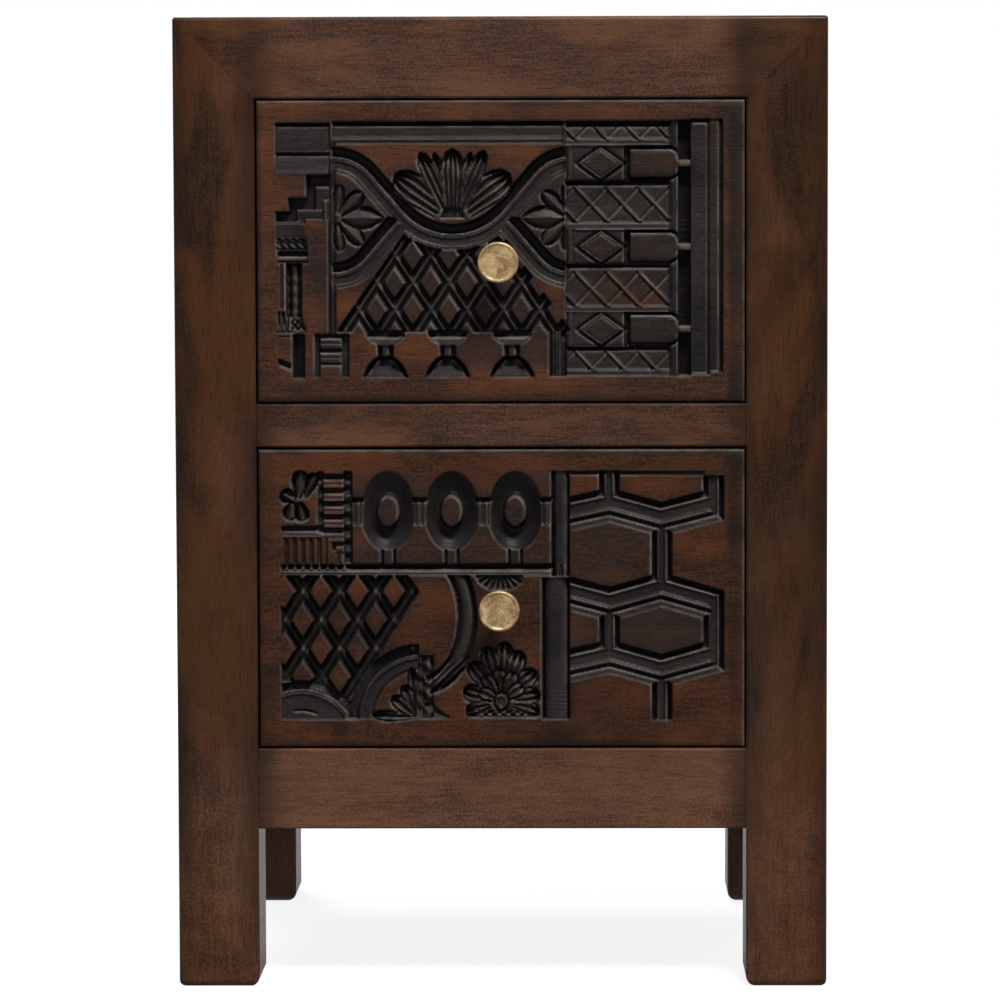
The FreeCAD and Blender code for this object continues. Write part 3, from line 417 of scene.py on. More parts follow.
def petalSpace(x, z, base, tip, half, outline):
    # Share of the way to the tip, share of the way to the side, distance inside the outline
    dx, dz = tip[0] - base[0], tip[1] - base[1]
    length = math.hypot(dx, dz)
    share = ((x - base[0]) * dx + (z - base[1]) * dz) / length ** 2
    beside = ((z - base[1]) * dx - (x - base[0]) * dz) / length
    width = half * shaped(share, *petalLook[outline])
    inside = np.where((share > 0.0) & (share < 1.0), width - np.abs(beside), -1.0)
    return share, beside / np.maximum(width, 0.01), inside


def reededPetal(x, z, base, tip, half, reeds, tipDeep, outline="pointed"):
    share, beside, inside = petalSpace(x, z, base, tip, half, outline)
    mean, swing = petalLook["reed"]
    ribs = mean - swing * np.cos(math.pi * reeds * (beside + 1.0) + math.pi)
    return (ribs + (tipDeep - 1.4) * ramp(share, *petalLook["tipFrom"])) * ramp(inside, 0.0, 0.6)


def lensPetal(x, z, base, tip, half, outline="pointed", sunk=0.0):
    # Sunk outline round a raised, ridged middle
    beside, inside = petalSpace(x, z, base, tip, half, outline)[1:]
    return (sunk + shaped(np.abs(beside), *petalLook["lens"])) * ramp(inside, 0.0, 0.5)


upperLattice = {"node": (-32, -19.3), "pitch": 22.4, "rise": 17, "half": 4.9,
    "profile": ((0, 2.9), (1, 3.1), (2, 4.4), (9, 4.4)),
    "region": ((-56, 15.5), (-101.5, -49.8), (43.5, -49.8), (-3, 15.5))}
lowerLattice = {"node": (-125, 4), "pitch": 22.7, "rise": 17.8, "half": 4.6,
    "profile": ((0, 3.9), (1.4, 4.1), (2.4, 4.7), (9, 4.7)),
    "region": ((-138, 13.8), (-59.4, 13.8), (-52.4, 4), (-86.4, -49.4), (-94, -69), (-98, -69),
        (-105, -60), (-114, -54), (-138, -52))}


def barOffset(x, z, node, pitch, rise, lean):
    shift = x - node[0] - lean * pitch / 2.0 / rise * (z - node[1])
    return (shift + pitch / 2.0) % pitch - pitch / 2.0


def latticeAway(x, z, made):
    return [np.abs(barOffset(x, z, made["node"], made["pitch"], made["rise"], lean)) for lean in (-1, 1)]


def lattice(x, z, made):
    # Crossing bars that stand in grooves, the wood between them left whole
    first, second = latticeAway(x, z, made)
    bars = np.minimum(shaped(first, *made["profile"]), shaped(second, *made["profile"]))
    return bars * ramp(made["half"] - np.minimum(first, second), 0.0, 1.0)


ogee = {"middle": -29.5, "bowl": (-29.5, 52), "bowlRadius": 43.5, "haunch": -103, "haunchRadius": 27.3,
    "almond": 20.5, "rise": 8.2, "half": 8, "across": (-104, 39.6),
    "profile": ((-8, 0), (-7.5, 4.4), (-2.6, 4.8), (-2.1, 1.5), (-1.4, 0.5), (-0.6, 1.6), (0.2, 0.6),
        (1.1, 1.9), (5.2, 1.6), (6, 0.7), (6.8, 1.5), (7.4, 0.4), (8, 0))}


def ogeeOffset(x, z):
    # Distance below the middle line of the nearest part of the ogee band
    middle, haunch, bowl, almond = ogee["middle"], ogee["haunch"], ogee["bowl"], ogee["almond"]
    big, small = ogee["bowlRadius"], ogee["haunchRadius"]
    m = middle - np.abs(x - middle)
    top, low = almond + ogee["rise"], almond - ogee["rise"]
    run, rise = middle - haunch, bowl[1] - top
    turn = math.atan2(rise, run) + math.acos((big + small) / math.hypot(run, rise))
    cx, cz = math.cos(turn), math.sin(turn)
    best = np.full(x.shape, 99.0)

    def keep(offset, valid):
        return np.where(valid & (np.abs(offset) < np.abs(best)), offset, best)

    angle = np.arctan2(z - bowl[1], m - bowl[0])
    reach = np.hypot(m - bowl[0], z - bowl[1])
    best = keep(reach - big, (angle < -math.pi / 2 + 0.01) & (angle > turn - math.pi))
    for centre, flip in ((top, 1), (low, -1)):
        angle = np.arctan2((z - centre) * flip, m - haunch)
        reach = np.hypot(m - haunch, z - centre)
        best = keep((small - reach) * flip, (angle > turn) & (angle < math.pi / 2 + 0.3))
        # Straight piece between haunch and bowl, mirrored for the band below the eye
        startX, startZ = haunch + small * cx, centre + flip * small * cz
        endX, endZ = bowl[0] - big * cx, bowl[1] - big * cz
        endZ = endZ if flip > 0 else 2 * almond - endZ
        length = math.hypot(endX - startX, endZ - startZ)
        ex, ez = (endX - startX) / length, (endZ - startZ) / length
        share = (m - startX) * ex + (z - startZ) * ez
        best = keep((m - startX) * ez - (z - startZ) * ex, (share >= 0.0) & (share <= length))
    return best


def upperLeft(cut):
    # Stepped blocks, reed, stairs
    x, z = cut.x, cut.z
    blocks = shaped(z, (78.8, 4.4), (77.4, 4.2), (76.8, 1.7), (61.6, 1.5), (61.2, 0.7), (60.6, 1.2),
        (60.3, 3.4), (59.3, 3.2), (58.6, 1.9), (50.6, 0.8), (48, 0))
    cut.box((-139, -105.3, 47.5, 78.8), blocks, 0.35)
    for edge in (-105.6, -102.8):
        cut.groove((edge, 66), (edge, -51), 1.1, 2)
    for edge in (-106.4, -110.2):
        cut.groove((edge, 32), (edge, 20), 0.9, 2.2)
    stairs = ((-105, 47), (-120, 47), (-120, 33), (-131, 33), (-131, 24.5), (-139, 24.5), (-139, 17),
        (-120.5, 17), (-120.5, 20), (-110.5, 20), (-110.5, 31.5), (-105, 31.5))
    ledge = np.where((x > -114.5) & (z < 39.8), shaped(z, (39.8, 0.6), (38.6, 1.2), (31, 2.4)), 4.4)
    ledge = np.where((x > -126) & (z < 25.8), shaped(z, (25.8, 0.6), (24.6, 1), (20, 2)), ledge)
    cut.polygon(stairs, np.where((x < -124) & (z < 18.6), 0.9, ledge), 0.4)
    # Column: capital with a rope of beads, shaft, base and slot
    cut.box((-139, -121, 8.4, 17), shaped(z, (8.4, 3), (9.4, 1), (17, 0.6)))
    cut.box((-139, -119.5, 0.2, 8.4), 2.6 - 2 * beads((x + 0.9 * z) * 1.35, z * 0.8 - 3))
    mould = shaped(z, (0.2, 3.8), (-2.6, 3.4), (-3.2, 0.9), (-5.6, 0.6), (-6.4, 2), (-7.2, 1))
    cut.box((-138, -119, -7.2, 0.4), mould)
    shaft = shaped(np.abs(x + 128), (0, 2.8), (1.4, 3.2), (2.6, 4.6), (4.6, 4.6), (5, 4))
    cut.box((-133, -123, -41, -7), shaft + 0.2 * np.cos(z * 0.9), 0.6)
    cut.groove((-135.6, -8), (-135.6, -35), 1.3, 1.4)
    for lobe in (-135.8, -132.6):
        cut.deepen(lensPetal(x, z, (lobe, -49), (lobe - 0.6, -36.5), 2.2))
    cut.polygon(((-130, -49), (-120.5, -49), (-123, -41), (-130, -39)), 2.8 - 2 * beads(x * 1.6, z * 1.5))
    cut.groove((-138, -49.8), (-120.5, -49.8), 0.9, 1.4)
    cut.box((-129.4, -121.2, -78.4, -51), shaped(x, (-129.4, 1), (-127.2, 5), (-122, 4.6), (-121.2, 3)))
    cut.box((-138, -130.2, -65.4, -51.8), shaped(z, (-51.8, 1.6), (-53, 0.5), (-65.4, 0.3)))
    bracket = shaped(z + 0.45 * (x + 138), (-72, 0.4), (-69.5, 0.8), (-68.6, 3.2), (-66, 3))
    cut.polygon(((-138, -66), (-130, -69.6), (-130, -74.6), (-138, -71)), bracket)
    # Stool with two slats
    for left, right in ((-115.4, -111.8), (-98.8, -94)):
        cut.box((left, right, -78, -51), 3.4 - 0.6 * ramp(z, -58, -70))
    slats = shaped(z, (-51.2, 3.2), (-53.4, 3), (-54, 0.8), (-56.4, 0.9), (-57, 1.5), (-57.6, 0.8),
        (-60, 0.6), (-60.6, 3), (-62.2, 3.2), (-63, 0.9), (-65.4, 0.8), (-66, 1.4), (-66.6, 0.8),
        (-69, 0.6), (-69.6, 2.8), (-70.6, 0.4))
    cut.box((-112.2, -98.3, -71, -51.2), slats)


eyeFlower = {"heart": (-101.5, 20.5), "left": -103.5, "middle": ((-99.6, 20.6), (-71.6, 20.6), 7.6),
    "from": 3, "petals": ((44, 23, 5.4), (-44, 23, 5.4), (84, 21, 4), (-84, 21, 4))}
lotus = {"petals": (((-37, 26), (-65.8, 47), 10, 4), ((-22, 26), (6.2, 47.4), 10, 4),
        ((-32.5, 27), (-41, 61), 3.4, 2), ((-26.5, 27), (-18, 61.2), 3.4, 2),
        ((-34, 26.5), (-49.8, 61), 5.4, 3), ((-25, 26.5), (-9.4, 62), 5.4, 3),
        ((-29.5, 26.5), (-29.5, 63), 8, 5)),
    "tipDeep": 4, "plinth": ((-37.5, 20.5), (-22, 20.5), (-24, 26.6), (-35, 26.6)),
    "flutes": ((-36.5, 3), (-35, 3.4), (-27.6, 3.2), (-27, 1.2), (-26.4, 3), (-22.5, 3.2))}
vase = {"middles": (-71.5, -33, 7), "top": -49.2, "neck": (-58.4, -65.6), "foot": -77.8,
    "half": ((-49.2, 12.2), (-52.6, 11.6), (-55.6, 9.4), (-58.4, 4.9), (-65.6, 4.9), (-68, 8),
        (-71, 10.6), (-74.5, 12.8), (-77.8, 14.2)),
    "floor": ((-49.2, 4.8), (-52.4, 4.8), (-53.3, 1.6), (-58, 0.5), (-58.8, 0.8), (-59.4, 1.6),
        (-65, 1.2), (-66.4, 4.6), (-71.6, 4.4), (-75, 2.8), (-77.8, 1.2))}


def upperMiddle(cut):
    x, z = cut.x, cut.z
    band = shaped(z, (79.6, 4.4), (77.6, 4.2), (76.9, 1.9), (70.4, 1.8), (69.4, 0.6), (67.6, 0.5),
        (66.8, 1.6), (65.8, 0))
    cut.box((-103.6, 39, 65.6, 79.6), band, 0.35)
    offset = ogeeOffset(x, z)
    left, right = ogee["across"]
    cut.deepen(shaped(offset, *ogee["profile"]),
        (np.abs(offset) < ogee["half"]) & (x > left) & (x < right))
    # Half flowers in the eyes of the ogee
    for m in (x, 2 * ogee["middle"] - x):
        flower = lensPetal(m, z, *eyeFlower["middle"], "almond")
        for angle, far, half in eyeFlower["petals"]:
            base, tip = [around(eyeFlower["heart"], angle, reach) for reach in (eyeFlower["from"], far)]
            flower = np.maximum(flower, lensPetal(m, z, base, tip, half))
        cut.deepen(flower, (m > eyeFlower["left"]) & (x < right))
    # Lotus standing in the bowl, each petal over the ones before
    for base, tip, half, reeds in lotus["petals"]:
        petal = reededPetal(x, z, base, tip, half, reeds, lotus["tipDeep"], "broad")
        cut.cover(petal, petal > 0.0)
    cut.polygon(lotus["plinth"], shaped(x, *lotus["flutes"]))
    # Lattice below the bowl
    bowl = np.hypot(x - ogee["bowl"][0], z - ogee["bowl"][1]) - ogee["bowlRadius"] - ogee["half"]
    region = np.minimum(inPolygon(x, z, upperLattice["region"]), bowl)
    cut.deepen(lattice(x, z, upperLattice), region > 0.0)
    half, neck = shaped(z, *vase["half"]), vase["neck"]
    raisedEdge = np.where(z <= neck[1], 1.6, np.where(z < neck[0], 2.4, 0.0))
    for middle in vase["middles"]:
        away = np.abs(x - middle)
        floor = shaped(z, *vase["floor"]) + raisedEdge * ramp(away, half - 3.4, half - 1.6)
        cut.sink(np.where((z < vase["top"]) & (z > vase["foot"]), half - away, -1.0), floor)
    flutes = shaped(x, (29.8, 3.6), (31, 3.2), (32.2, 1), (33.4, 2.6), (34.4, 0.9), (35.6, 2.6),
        (36.6, 1.2), (37.6, 4), (40.4, 4.2))
    cut.box((29.8, 40.6, -77.8, -49), flutes + 1.2 * ramp(z, -57, -50))


# Hinge straps: rows of zigzag ribs are top, bottom and the height of their middle
hinge = {"levels": (53.8, 2.6, -48.4), "pin": (110.5, 117.4), "diamond": (62, 13.6, 9.8),
    "rows": ((79.6, 64.6, 78.6), (43.4, 13, 28.6), (-7.4, -38.2, -23.6), (-58.4, -77.8, -72.6)),
    "rib": ((-0.7, 0), (0.1, -1), (0.9, -0.9), (2.2, 0)), "ribShade": ((-2.2, 0), (-1.4, 1), (-0.7, 0)),
    "rim": ((0, 0.6), (0.74, 0.3), (0.86, 1.2), (0.96, 0.2), (1, 0.4), (1.04, 3.2), (1.14, 2.4),
        (1.3, 1.2)),
    "strip": ((40.6, 2.4), (41.4, 0.9), (43, 0.5), (44.4, 0.9), (45.2, 2.6)), "zigzag": (56.2, 19.6, 10.2),
    "lines": ((104.2, 2.6), (105, 0.8), (105.8, 2.2), (106.6, 0.6), (107.6, 2.4), (108.6, 0.8),
        (109.6, 2.2)),
    "posts": ((117.4, 1), (118.2, 0.5), (127.6, 0.9), (128.4, 2.4), (129.2, 0.5), (134.8, 0.8),
        (135.6, 2.8), (137, 2.6), (137.4, 0)),
    "postEnds": ((0, 0), (0.8, 0), (1.6, 0.8), (2.2, 0.4), (155, 0.4), (156, 2.4)),
    "crown": ((-9, 1.4), (-6, 0.4), (0, 0.1), (6, 0.2), (9, 0.7)),
    "tab": ((79.6, -9), (105.2, -9), (108.4, -7.4), (110, -4.6), (110.4, -2.4), (117.6, -2.4),
        (117.6, 2.4), (110.4, 2.4), (110, 4.6), (108.4, 7.4), (105.2, 9), (79.6, 9))}


def zigzagAway(x, z, middle, lean):
    start, pitch, rise = hinge["zigzag"]
    return barOffset(x, z, (start, middle), pitch, rise, lean)


def diamondReach(x, z, level):
    middle, halfX, halfZ = hinge["diamond"]
    return np.abs(x - middle) / halfX + np.abs(z - level) / halfZ


def inTab(x, z, level):
    return inPolygon(x, z - level, hinge["tab"])


def upperRight(cut):
    # Four rows of zigzag ribs, three hinge straps with diamonds between them
    x, z = cut.x, cut.z
    strap = Relief(x, z)
    for top, bottom, middle in hinge["rows"]:
        floor = shaped(z, (top, 4.6), (top - 2.4, 4.4), (top - 3.6, 2.4), (bottom + 5, 1.8),
            (bottom + 3.6, 0.8), (bottom + 1.4, 0.9), (bottom, 0.2))
        ribs = 0.0
        for lean, raised, sunk in ((-1, 1.7, 0.8), (1, 0.25, 0.9)):
            away = zigzagAway(x, z, middle, lean)
            ribs = ribs + raised * shaped(away, *hinge["rib"]) + sunk * shaped(away, *hinge["ribShade"])
        inner = (np.abs(z - middle) < 10.6) & (z < top - 3.4) & (z > bottom + 3.2)
        strap.box((40.2, 104.6, bottom, top), np.maximum(floor + np.where(inner, ribs, 0.0), 0.2), 0.3)
    for level in hinge["levels"]:
        away = z - level
        plate = inBox(x, away, 45.6, 79.2, -11, 10.4)
        rim = shaped(diamondReach(x, z, level), *hinge["rim"])
        rim = rim + np.where(x > 76.4, 2.6, 0.0) + 0.8 * ramp(-away, 9, 11)
        strap.cover(rim * ramp(plate, 0.0, 0.3), plate > 0.0)
        strap.cover(shaped(x, *hinge["strip"]), inBox(x, away, 40.6, 45.4, -11, 10.4) > 0.0)
    strap.cover(shaped(x, *hinge["lines"]), inBox(x, z, 104.2, 110, -77.6, 79.6) > 0.0)
    strap.cover(6.2, inBox(x, z, 109.8, 117.4, -77.2, 79.6) > 0.0)
    lowEnd = np.where(x > 129.5, -75.2, -76.8)
    posts = shaped(x, *hinge["posts"]) + shaped(z - lowEnd, *hinge["postEnds"])
    strap.cover(posts, (x > 117.4) & (x < 137.4) & (z > lowEnd) & (z < 80.4))
    for level in hinge["levels"]:
        away, tab = z - level, inTab(x, z, level)
        crown = np.where(x > 110.2, 0.4 + 0.14 * away ** 2, shaped(away, *hinge["crown"]))
        strap.cover(np.maximum(crown, 1.6 * (1 - ramp(tab, 0, 1))), tab > 0.0)
        strap.deepen(4.2, (tab <= 0.0) & (tab > -1.2) & (x < 117.4) & (x > 78))
    cut.deepen(strap.depth)


blossom = {"petals": (((-127.6, 62), (-125.4, 79.6), 5.6), ((-123.4, 62.4), (-116.4, 78), 4.2),
        ((-129.4, 60.2), (-138, 65.8), 5), ((-130.6, 59.6), (-133.4, 48.4), 5.2),
        ((-126.6, 59.6), (-124.6, 47.8), 5.2)), "sunk": 1.6}
dome = {"centre": (-126, -92.2), "across": (-138, -90), "low": -76.4, "plain": 24,
    "profile": ((18, 1.4), (20.6, 1.2), (21.4, 3.6), (22.2, 1.4), (31.4, 1.8), (32.2, 0.5), (33.2, 1.6),
        (34.4, 0.5), (35.2, 3.6), (39.6, 4.6), (40.4, 0))}
arch = {"centre": (-50, -76), "across": (-98, -53),
    "profile": ((30.4, 0), (31, 0.5), (32, 1.6), (33, 0.6), (37.4, 1.8), (38.4, 0.6), (39.4, 1.4),
        (40.2, 0.8), (41, 4), (46.6, 4.6), (47.4, 0))}
palmette = {"base": (-55, -75), "reeds": 2, "tipDeep": 3.4,
    "petals": (((-57.4, -43), 3.6), ((-62.4, -54.5), 4.6), ((-70, -62), 4.8), ((-82.5, -74), 4))}


def lowerLeft(cut):
    # Blossom, ladder, fluted box and the long rail
    x, z = cut.x, cut.z
    for petal in blossom["petals"]:
        cut.deepen(lensPetal(x, z, *petal, sunk=blossom["sunk"]))
    for left, right, low in ((-115.2, -111.6, 41), (-99, -93.8, 19)):
        cut.box((left, right, low, 79.2), 3.4 + 0.9 * np.cos(z * 0.75), 0.6)
    for rung in (75.6, 66.8, 58.8, 50.6, 42.2):
        slat = shaped(z - rung, (-6, 0), (-5, 0.5), (-4.2, 1.2), (-3.4, 0.5), (-1.9, 0.7), (-1.2, 3.6),
            (1, 3.6), (1.6, 0))
        cut.box((-112, -98.4, rung - 6, rung + 1.6), slat, 0.3)
    bar = shaped(z, (45, 3.6), (42.4, 3.4), (41.8, 1), (39.4, 0.6), (38.6, 0))
    cut.box((-138, -111.6, 38.6, 45), bar, 0.4)
    wave = np.cos((x + 137.4) * 2 * math.pi / 5.1)
    cut.box((-138, -109, 20.6, 38.2), 1.2 - wave, 0.8)
    hook = ((-106.6, 34.8), (-98, 34.8), (-98, 32.2), (-104, 32.2), (-104, 29.8), (-106.6, 29.8))
    cut.polygon(hook, 2.8)
    cut.box((-104.6, -98, 21, 29.6), 0.8 + 0.5 * np.cos(x * 1.9), 1)
    rail = shaped(z, (21.2, 4.4), (18.4, 4.2), (17.6, 1.6), (16, 0.7), (15.2, 1.3), (14.4, 0.6),
        (13.4, 0))
    scallops = np.where((x < -98) & (z > 17.8), 1.5 * wave - 1.2, 0.0)
    cut.box((-138, 30.4, 13.2, 21.2), rail + scallops, 0.4)
    cut.deepen(lattice(x, z, lowerLattice), inPolygon(x, z, lowerLattice["region"]) > 0.0)
    # Dome, arch, palmette and stem along the foot
    reach = np.hypot(x - dome["centre"][0], z - dome["centre"][1])
    rings = shaped(reach, *dome["profile"])
    rings = np.where((reach < dome["plain"]) & (np.abs(x + 123.5) > 7), 1.4, rings)
    left, right = dome["across"]
    cut.deepen(rings, (x > left) & (x < right) & (z > dome["low"]))
    reach = np.hypot(x - arch["centre"][0], z - arch["centre"][1])
    left, right = arch["across"]
    cut.deepen(shaped(reach, *arch["profile"]), (x > left) & (x < right) & (z > arch["centre"][1]))
    for tip, half in palmette["petals"]:
        cut.deepen(reededPetal(x, z, palmette["base"], tip, half, palmette["reeds"], palmette["tipDeep"]))
    stem = shaped(x, (-54, 1.8), (-53.2, 0.6), (-52.4, 2.2), (-51.6, 0.6), (-50.8, 3.2), (-46.6, 1.2),
        (-44.2, 3.4), (-43.2, 0))
    cut.box((-54, -43.2, -76, -35.6), stem + 0.6 * np.cos(z * 0.7 + x * 0.5))
    foot = ((-50, -76.2), (-32.6, -76.2), (-33.4, -74.6), (-40, -70.6), (-44.5, -66.4), (-50, -66))
    cut.polygon(foot, shaped(z, (-76.2, 1), (-73, 2), (-68, 3.6)))


oval = {"middles": (-71.5, -32, 7.5), "height": 54, "half": (17.2, 25.4), "boss": (6.6, 10.4),
    "profile": ((0, 0.1), (0.33, 0.2), (0.375, 0.6), (0.405, 3.6), (0.45, 4.8), (0.6, 4.7), (0.74, 4),
        (0.86, 2.7), (0.95, 1.2), (1, 0)),
    "arms": ((-94, -87), (-56.6, -47), (-17, -7.4), (22.8, 30.4)),
    "armProfile": ((62.6, 3.6), (60.4, 3.4), (59.4, 1.6), (48, 1), (46, 0.6), (45.4, 0))}
post = {"boxes": ((30, 41.4, 13.4, 79), (24, 41.4, -76.6, 12.6)),
    "profile": ((0, 1), (0.35, 1.2), (0.6, 2), (0.78, 3.2), (0.86, 4.6), (1, 4.4))}
horn = {"upper": ((-86, -12), 63.5, -21.5, 29), "upperTop": 14, "lower": ((-55, -27), 29, -74, -14),
    "half": 6.3, "profile": ((0, 1.8), (2, 2.2), (4, 3.8), (5.6, 4.6), (6.3, 0))}


def ovalReach(x, z, middle, half):
    return np.hypot((x - middle) / half[0], (z - oval["height"]) / half[1])


def lowerMiddle(cut):
    # Ovals with bosses, joined by arms
    x, z = cut.x, cut.z
    for middle in oval["middles"]:
        cut.deepen(shaped(ovalReach(x, z, middle, oval["half"]), *oval["profile"]))
        cut.box((middle - 4.8, middle + 4.8, 19, 30.4), np.where(np.abs(x - middle) > 3.2, 3.2, 1.2))
    arms = np.maximum(shaped(z, *oval["armProfile"]) + 0.5 * np.cos(x * 1.5), 0.3)
    for left, right in oval["arms"]:
        cut.box((left, right, 45.4, 62.6), arms, 0.4)
    for left, right, low, top in post["boxes"]:
        half = (right - left) / 2
        floor = shaped(np.abs(x - left - half) / half, *post["profile"])
        floor = floor + np.where(z < -57, 0.12 * np.cos(z * 2.4), 0.0)
        floor = floor + np.where((z > 13) & (z < 21), 0.9 * np.cos(x * 1.4), 0.0)
        cut.box((left, right, low, top), floor)
    # Horn with a roped lower end
    upper = np.where(z < horn["upperTop"], fromArc(x, z, *horn["upper"]), 99.0)
    away = np.minimum(upper, fromArc(x, z, *horn["lower"]))
    rope = 1.1 * np.cos((x - z) * 1.25) * ramp(-z, 36, 44)
    cut.deepen(shaped(away, *horn["profile"]) + rope, away < horn["half"])
    scallop = ((-18, 14.4), (12.6, 14.4), (11, 9), (6, 5.2), (-9.6, 5.2), (-15, 9))
    cut.polygon(scallop, 2.4 + 0.9 * np.cos(np.arctan2(z - 18, x + 2) * 22), 0.8)


rosette = {"heart": (-1.5, -65), "low": (-76, -75), "outerPetal": (0.32, 6.4), "innerPetal": (0.2, 5),
    "outer": ((1, -27.2), (-10.5, -30.2), (10.8, -32.8), (-20.8, -40.4), (20.4, -45.6), (-25.4, -58.4),
        (22.8, -61), (-23.4, -74), (22, -73.6)),
    "inner": ((-3, -43.8), (6.8, -46.6), (-12.4, -48.6), (12.4, -55.4), (-15.6, -58.8)),
    "rim": ((0, 3.2), (0.9, 3), (1.5, 0)),
    "boss": ((0, 1.5), (0.45, 1.8), (0.6, 0.5), (0.78, 0.4), (0.92, 3.2), (1.1, 3.4))}


def lowerRosette(cut):
    # Inner petals lie over the outer ones, the boss over both
    x, z, heart = cut.x, cut.z, rosette["heart"]
    share, half = rosette["outerPetal"]
    for tip in rosette["outer"]:
        petal = reededPetal(x, z, along(heart, tip, share), tip, half, 3, 4)
        cut.deepen(petal * ramp(z, *rosette["low"]))
    share, half = rosette["innerPetal"]
    for tip in rosette["inner"]:
        way, beside, inside = petalSpace(x, z, along(heart, tip, share), tip, half, "pointed")
        ribs = 1.1 + 0.9 * np.cos(2 * math.pi * (beside + 1)) + 2.2 * ramp(way, 0.7, 0.98)
        cut.cover(np.maximum(ribs, shaped(inside, *rosette["rim"])), inside > 0.0)
    reach = np.hypot((x - heart[0]) / 4.4, (z - heart[1] + 0.4) / 5.8)
    cut.cover(shaped(reach, *rosette["boss"]), reach < 1.1)
    cut.box((-23.4, 22, -75.8, -70), 1.6 + 1.2 * np.cos(x * 1.1) * np.cos(z * 1.7), 1.2)


comb = {"places": (41.5, 66, 98, 137.2), "half": 10.6,
    "left": 41.4, "bottom": -77, "top": 79, "lastTop": 75.6,
    "lines": {"none": (200,) * 4, "upper": (52.3, 57.6, 48.8, 58.8), "middle": (2.5, -4, 5, -6.2),
        "lower": (-42.5, -37, -46, -35), "foot": (-200,) * 4},
    "openings": ((0, 59.4, "none", "upper"), (72.2, 124, "none", "upper"), (0, 92.1, "upper", "middle"),
        (104.9, 200, "upper", "middle"), (0, 59.6, "middle", "lower"), (72.4, 124, "middle", "lower"),
        (0, 92.1, "lower", "foot"), (104.9, 200, "lower", "foot"), (137.2, 200, "none", "foot")),
    "under": ((0, 0), (0.7, 4.4), (2.6, 4.4), (3.8, 2.2), (5, 1.3), (6.2, 2.5), (11, 2.4)),
    "over": ((0, 0), (0.7, 0.7), (4.2, 1.2), (5.2, 3.2), (6, 3.2), (7.2, 0.9), (8.2, 0.9), (9.6, 2.3),
        (11, 2.4)),
    "beside": ((0, 0), (0.8, 4.4), (2.4, 4.6), (3.4, 1.1), (4.2, 1), (5, 2.5), (11, 2.4))}


def lowerRight(cut):
    # Honeycomb: a mitred moulding runs round each opening, and the flats of strips and struts join
    x, z = cut.x, cut.z
    lines = {name: np.interp(x, comb["places"], heights) for name, heights in comb["lines"].items()}
    nearest, floor = np.full(x.shape, 99.0), np.zeros(x.shape)
    for left, right, above, below in comb["openings"]:
        beside = np.maximum(left - x, x - right)
        over = z - lines[above] + comb["half"]
        under = lines[below] + comb["half"] - z
        away = np.maximum(beside, np.maximum(over, under))
        made = np.where(away == over, shaped(over, *comb["over"]), shaped(under, *comb["under"]))
        made = np.where(away == beside, shaped(beside, *comb["beside"]), made)
        floor = np.where(away < nearest, made, floor)
        nearest = np.minimum(nearest, away)
    top = np.where(x > 124, comb["lastTop"], comb["top"])
    cut.deepen(floor, (nearest > 0.0) & (x > comb["left"]) & (z > comb["bottom"]) & (z < top))
    cut.groove((41, 77.8), (124, 77.4), 1.5, 2.4)


motifs = {"upper": (upperLeft, upperMiddle, upperRight),
    "lower": (lowerLeft, lowerMiddle, lowerRosette, lowerRight)}

# Patina in boxes: by how softly they end, then strength and edges
stainLook = {"upper": {(-1, 1): ((0.85, (-139.5, -105, 47, 79)), (0.7, (-104, 39.5, 66, 80)),
            (0.92, (40, 137.5, -78, 80)), (0.5, (-107.5, -101.5, -52, 66))),
        (-6, 6): ((0.5, (-26, 41, -72, -44)), (0.55, (-66, 8, 22, 52)), (0.75, (-104, -78, -4, 44)),
            (0.75, (20, 41, -4, 44)), (0.4, (-113, -106, -52, -38)),
            (0.42, (-119, -106, -40, 12)))},
    "lower": {(-1, 1): ((0.4, (24, 41.4, -77, 79)),), (-2, 3): ((0.35, (-138, -92, -77, -54)),),
        (-8, 10): ((0.5, (42, 136, -42, 6)), (0.35, (42, 98, 4, 52)), (0.36, (-92, 30, 22, 80)))},
    "lattice": 0.45, "boss": 0.5, "bareTabs": (0.45, 0.3, 0.2), "bareDiamond": 0.3}
bareLook = {"upper": {(-1.5, 1.5): ((0.8, (48, 103, -36, -9.5)),),
        (-0.5, 0.5): ((0.3, (-103, 39, 69, 77)),)},
    "lower": {(-0.5, 0.5): ((0.6, (-138, -106.5, 21.4, 38.6)), (0.75, (-111.8, -98.6, 42, 78)))}}


def zones(boxes, x, z):
    made = np.zeros(x.shape)
    for fade, group in boxes.items():
        for strength, edges in group:
            made = np.maximum(made, strength * ramp(inBox(x, z, *edges), *fade))
    return made


def stainOf(level, x, z):
    # Dark patina beyond the cuts themselves
    stain = zones(stainLook[level], x, z)
    if level == "lower":
        for middle in oval["middles"]:
            boss = 1 - ovalReach(x, z, middle, oval["boss"])
            stain = np.maximum(stain, stainLook["boss"] * ramp(boss, -0.1, 0.2))
        return stain
    stain = np.maximum(stain, stainLook["lattice"] * ramp(inPolygon(x, z, upperLattice["region"]), -1, 1))
    for height, bare in zip(hinge["levels"], stainLook["bareTabs"]):
        tab = ramp(inTab(x, z, height), -0.5, 1.5)
        stain = stain * (1 - bare * tab)
        if height == hinge["levels"][1]:
            stain = np.maximum(stain, 0.85 * tab * ramp(z - height, 0, 5))
        diamond = 1 - np.abs(x - 62) / 12 - np.abs(z - height) / 8.6
        stain = stain * (1 - stainLook["bareDiamond"] * ramp(diamond, 0, 0.25))
    return stain


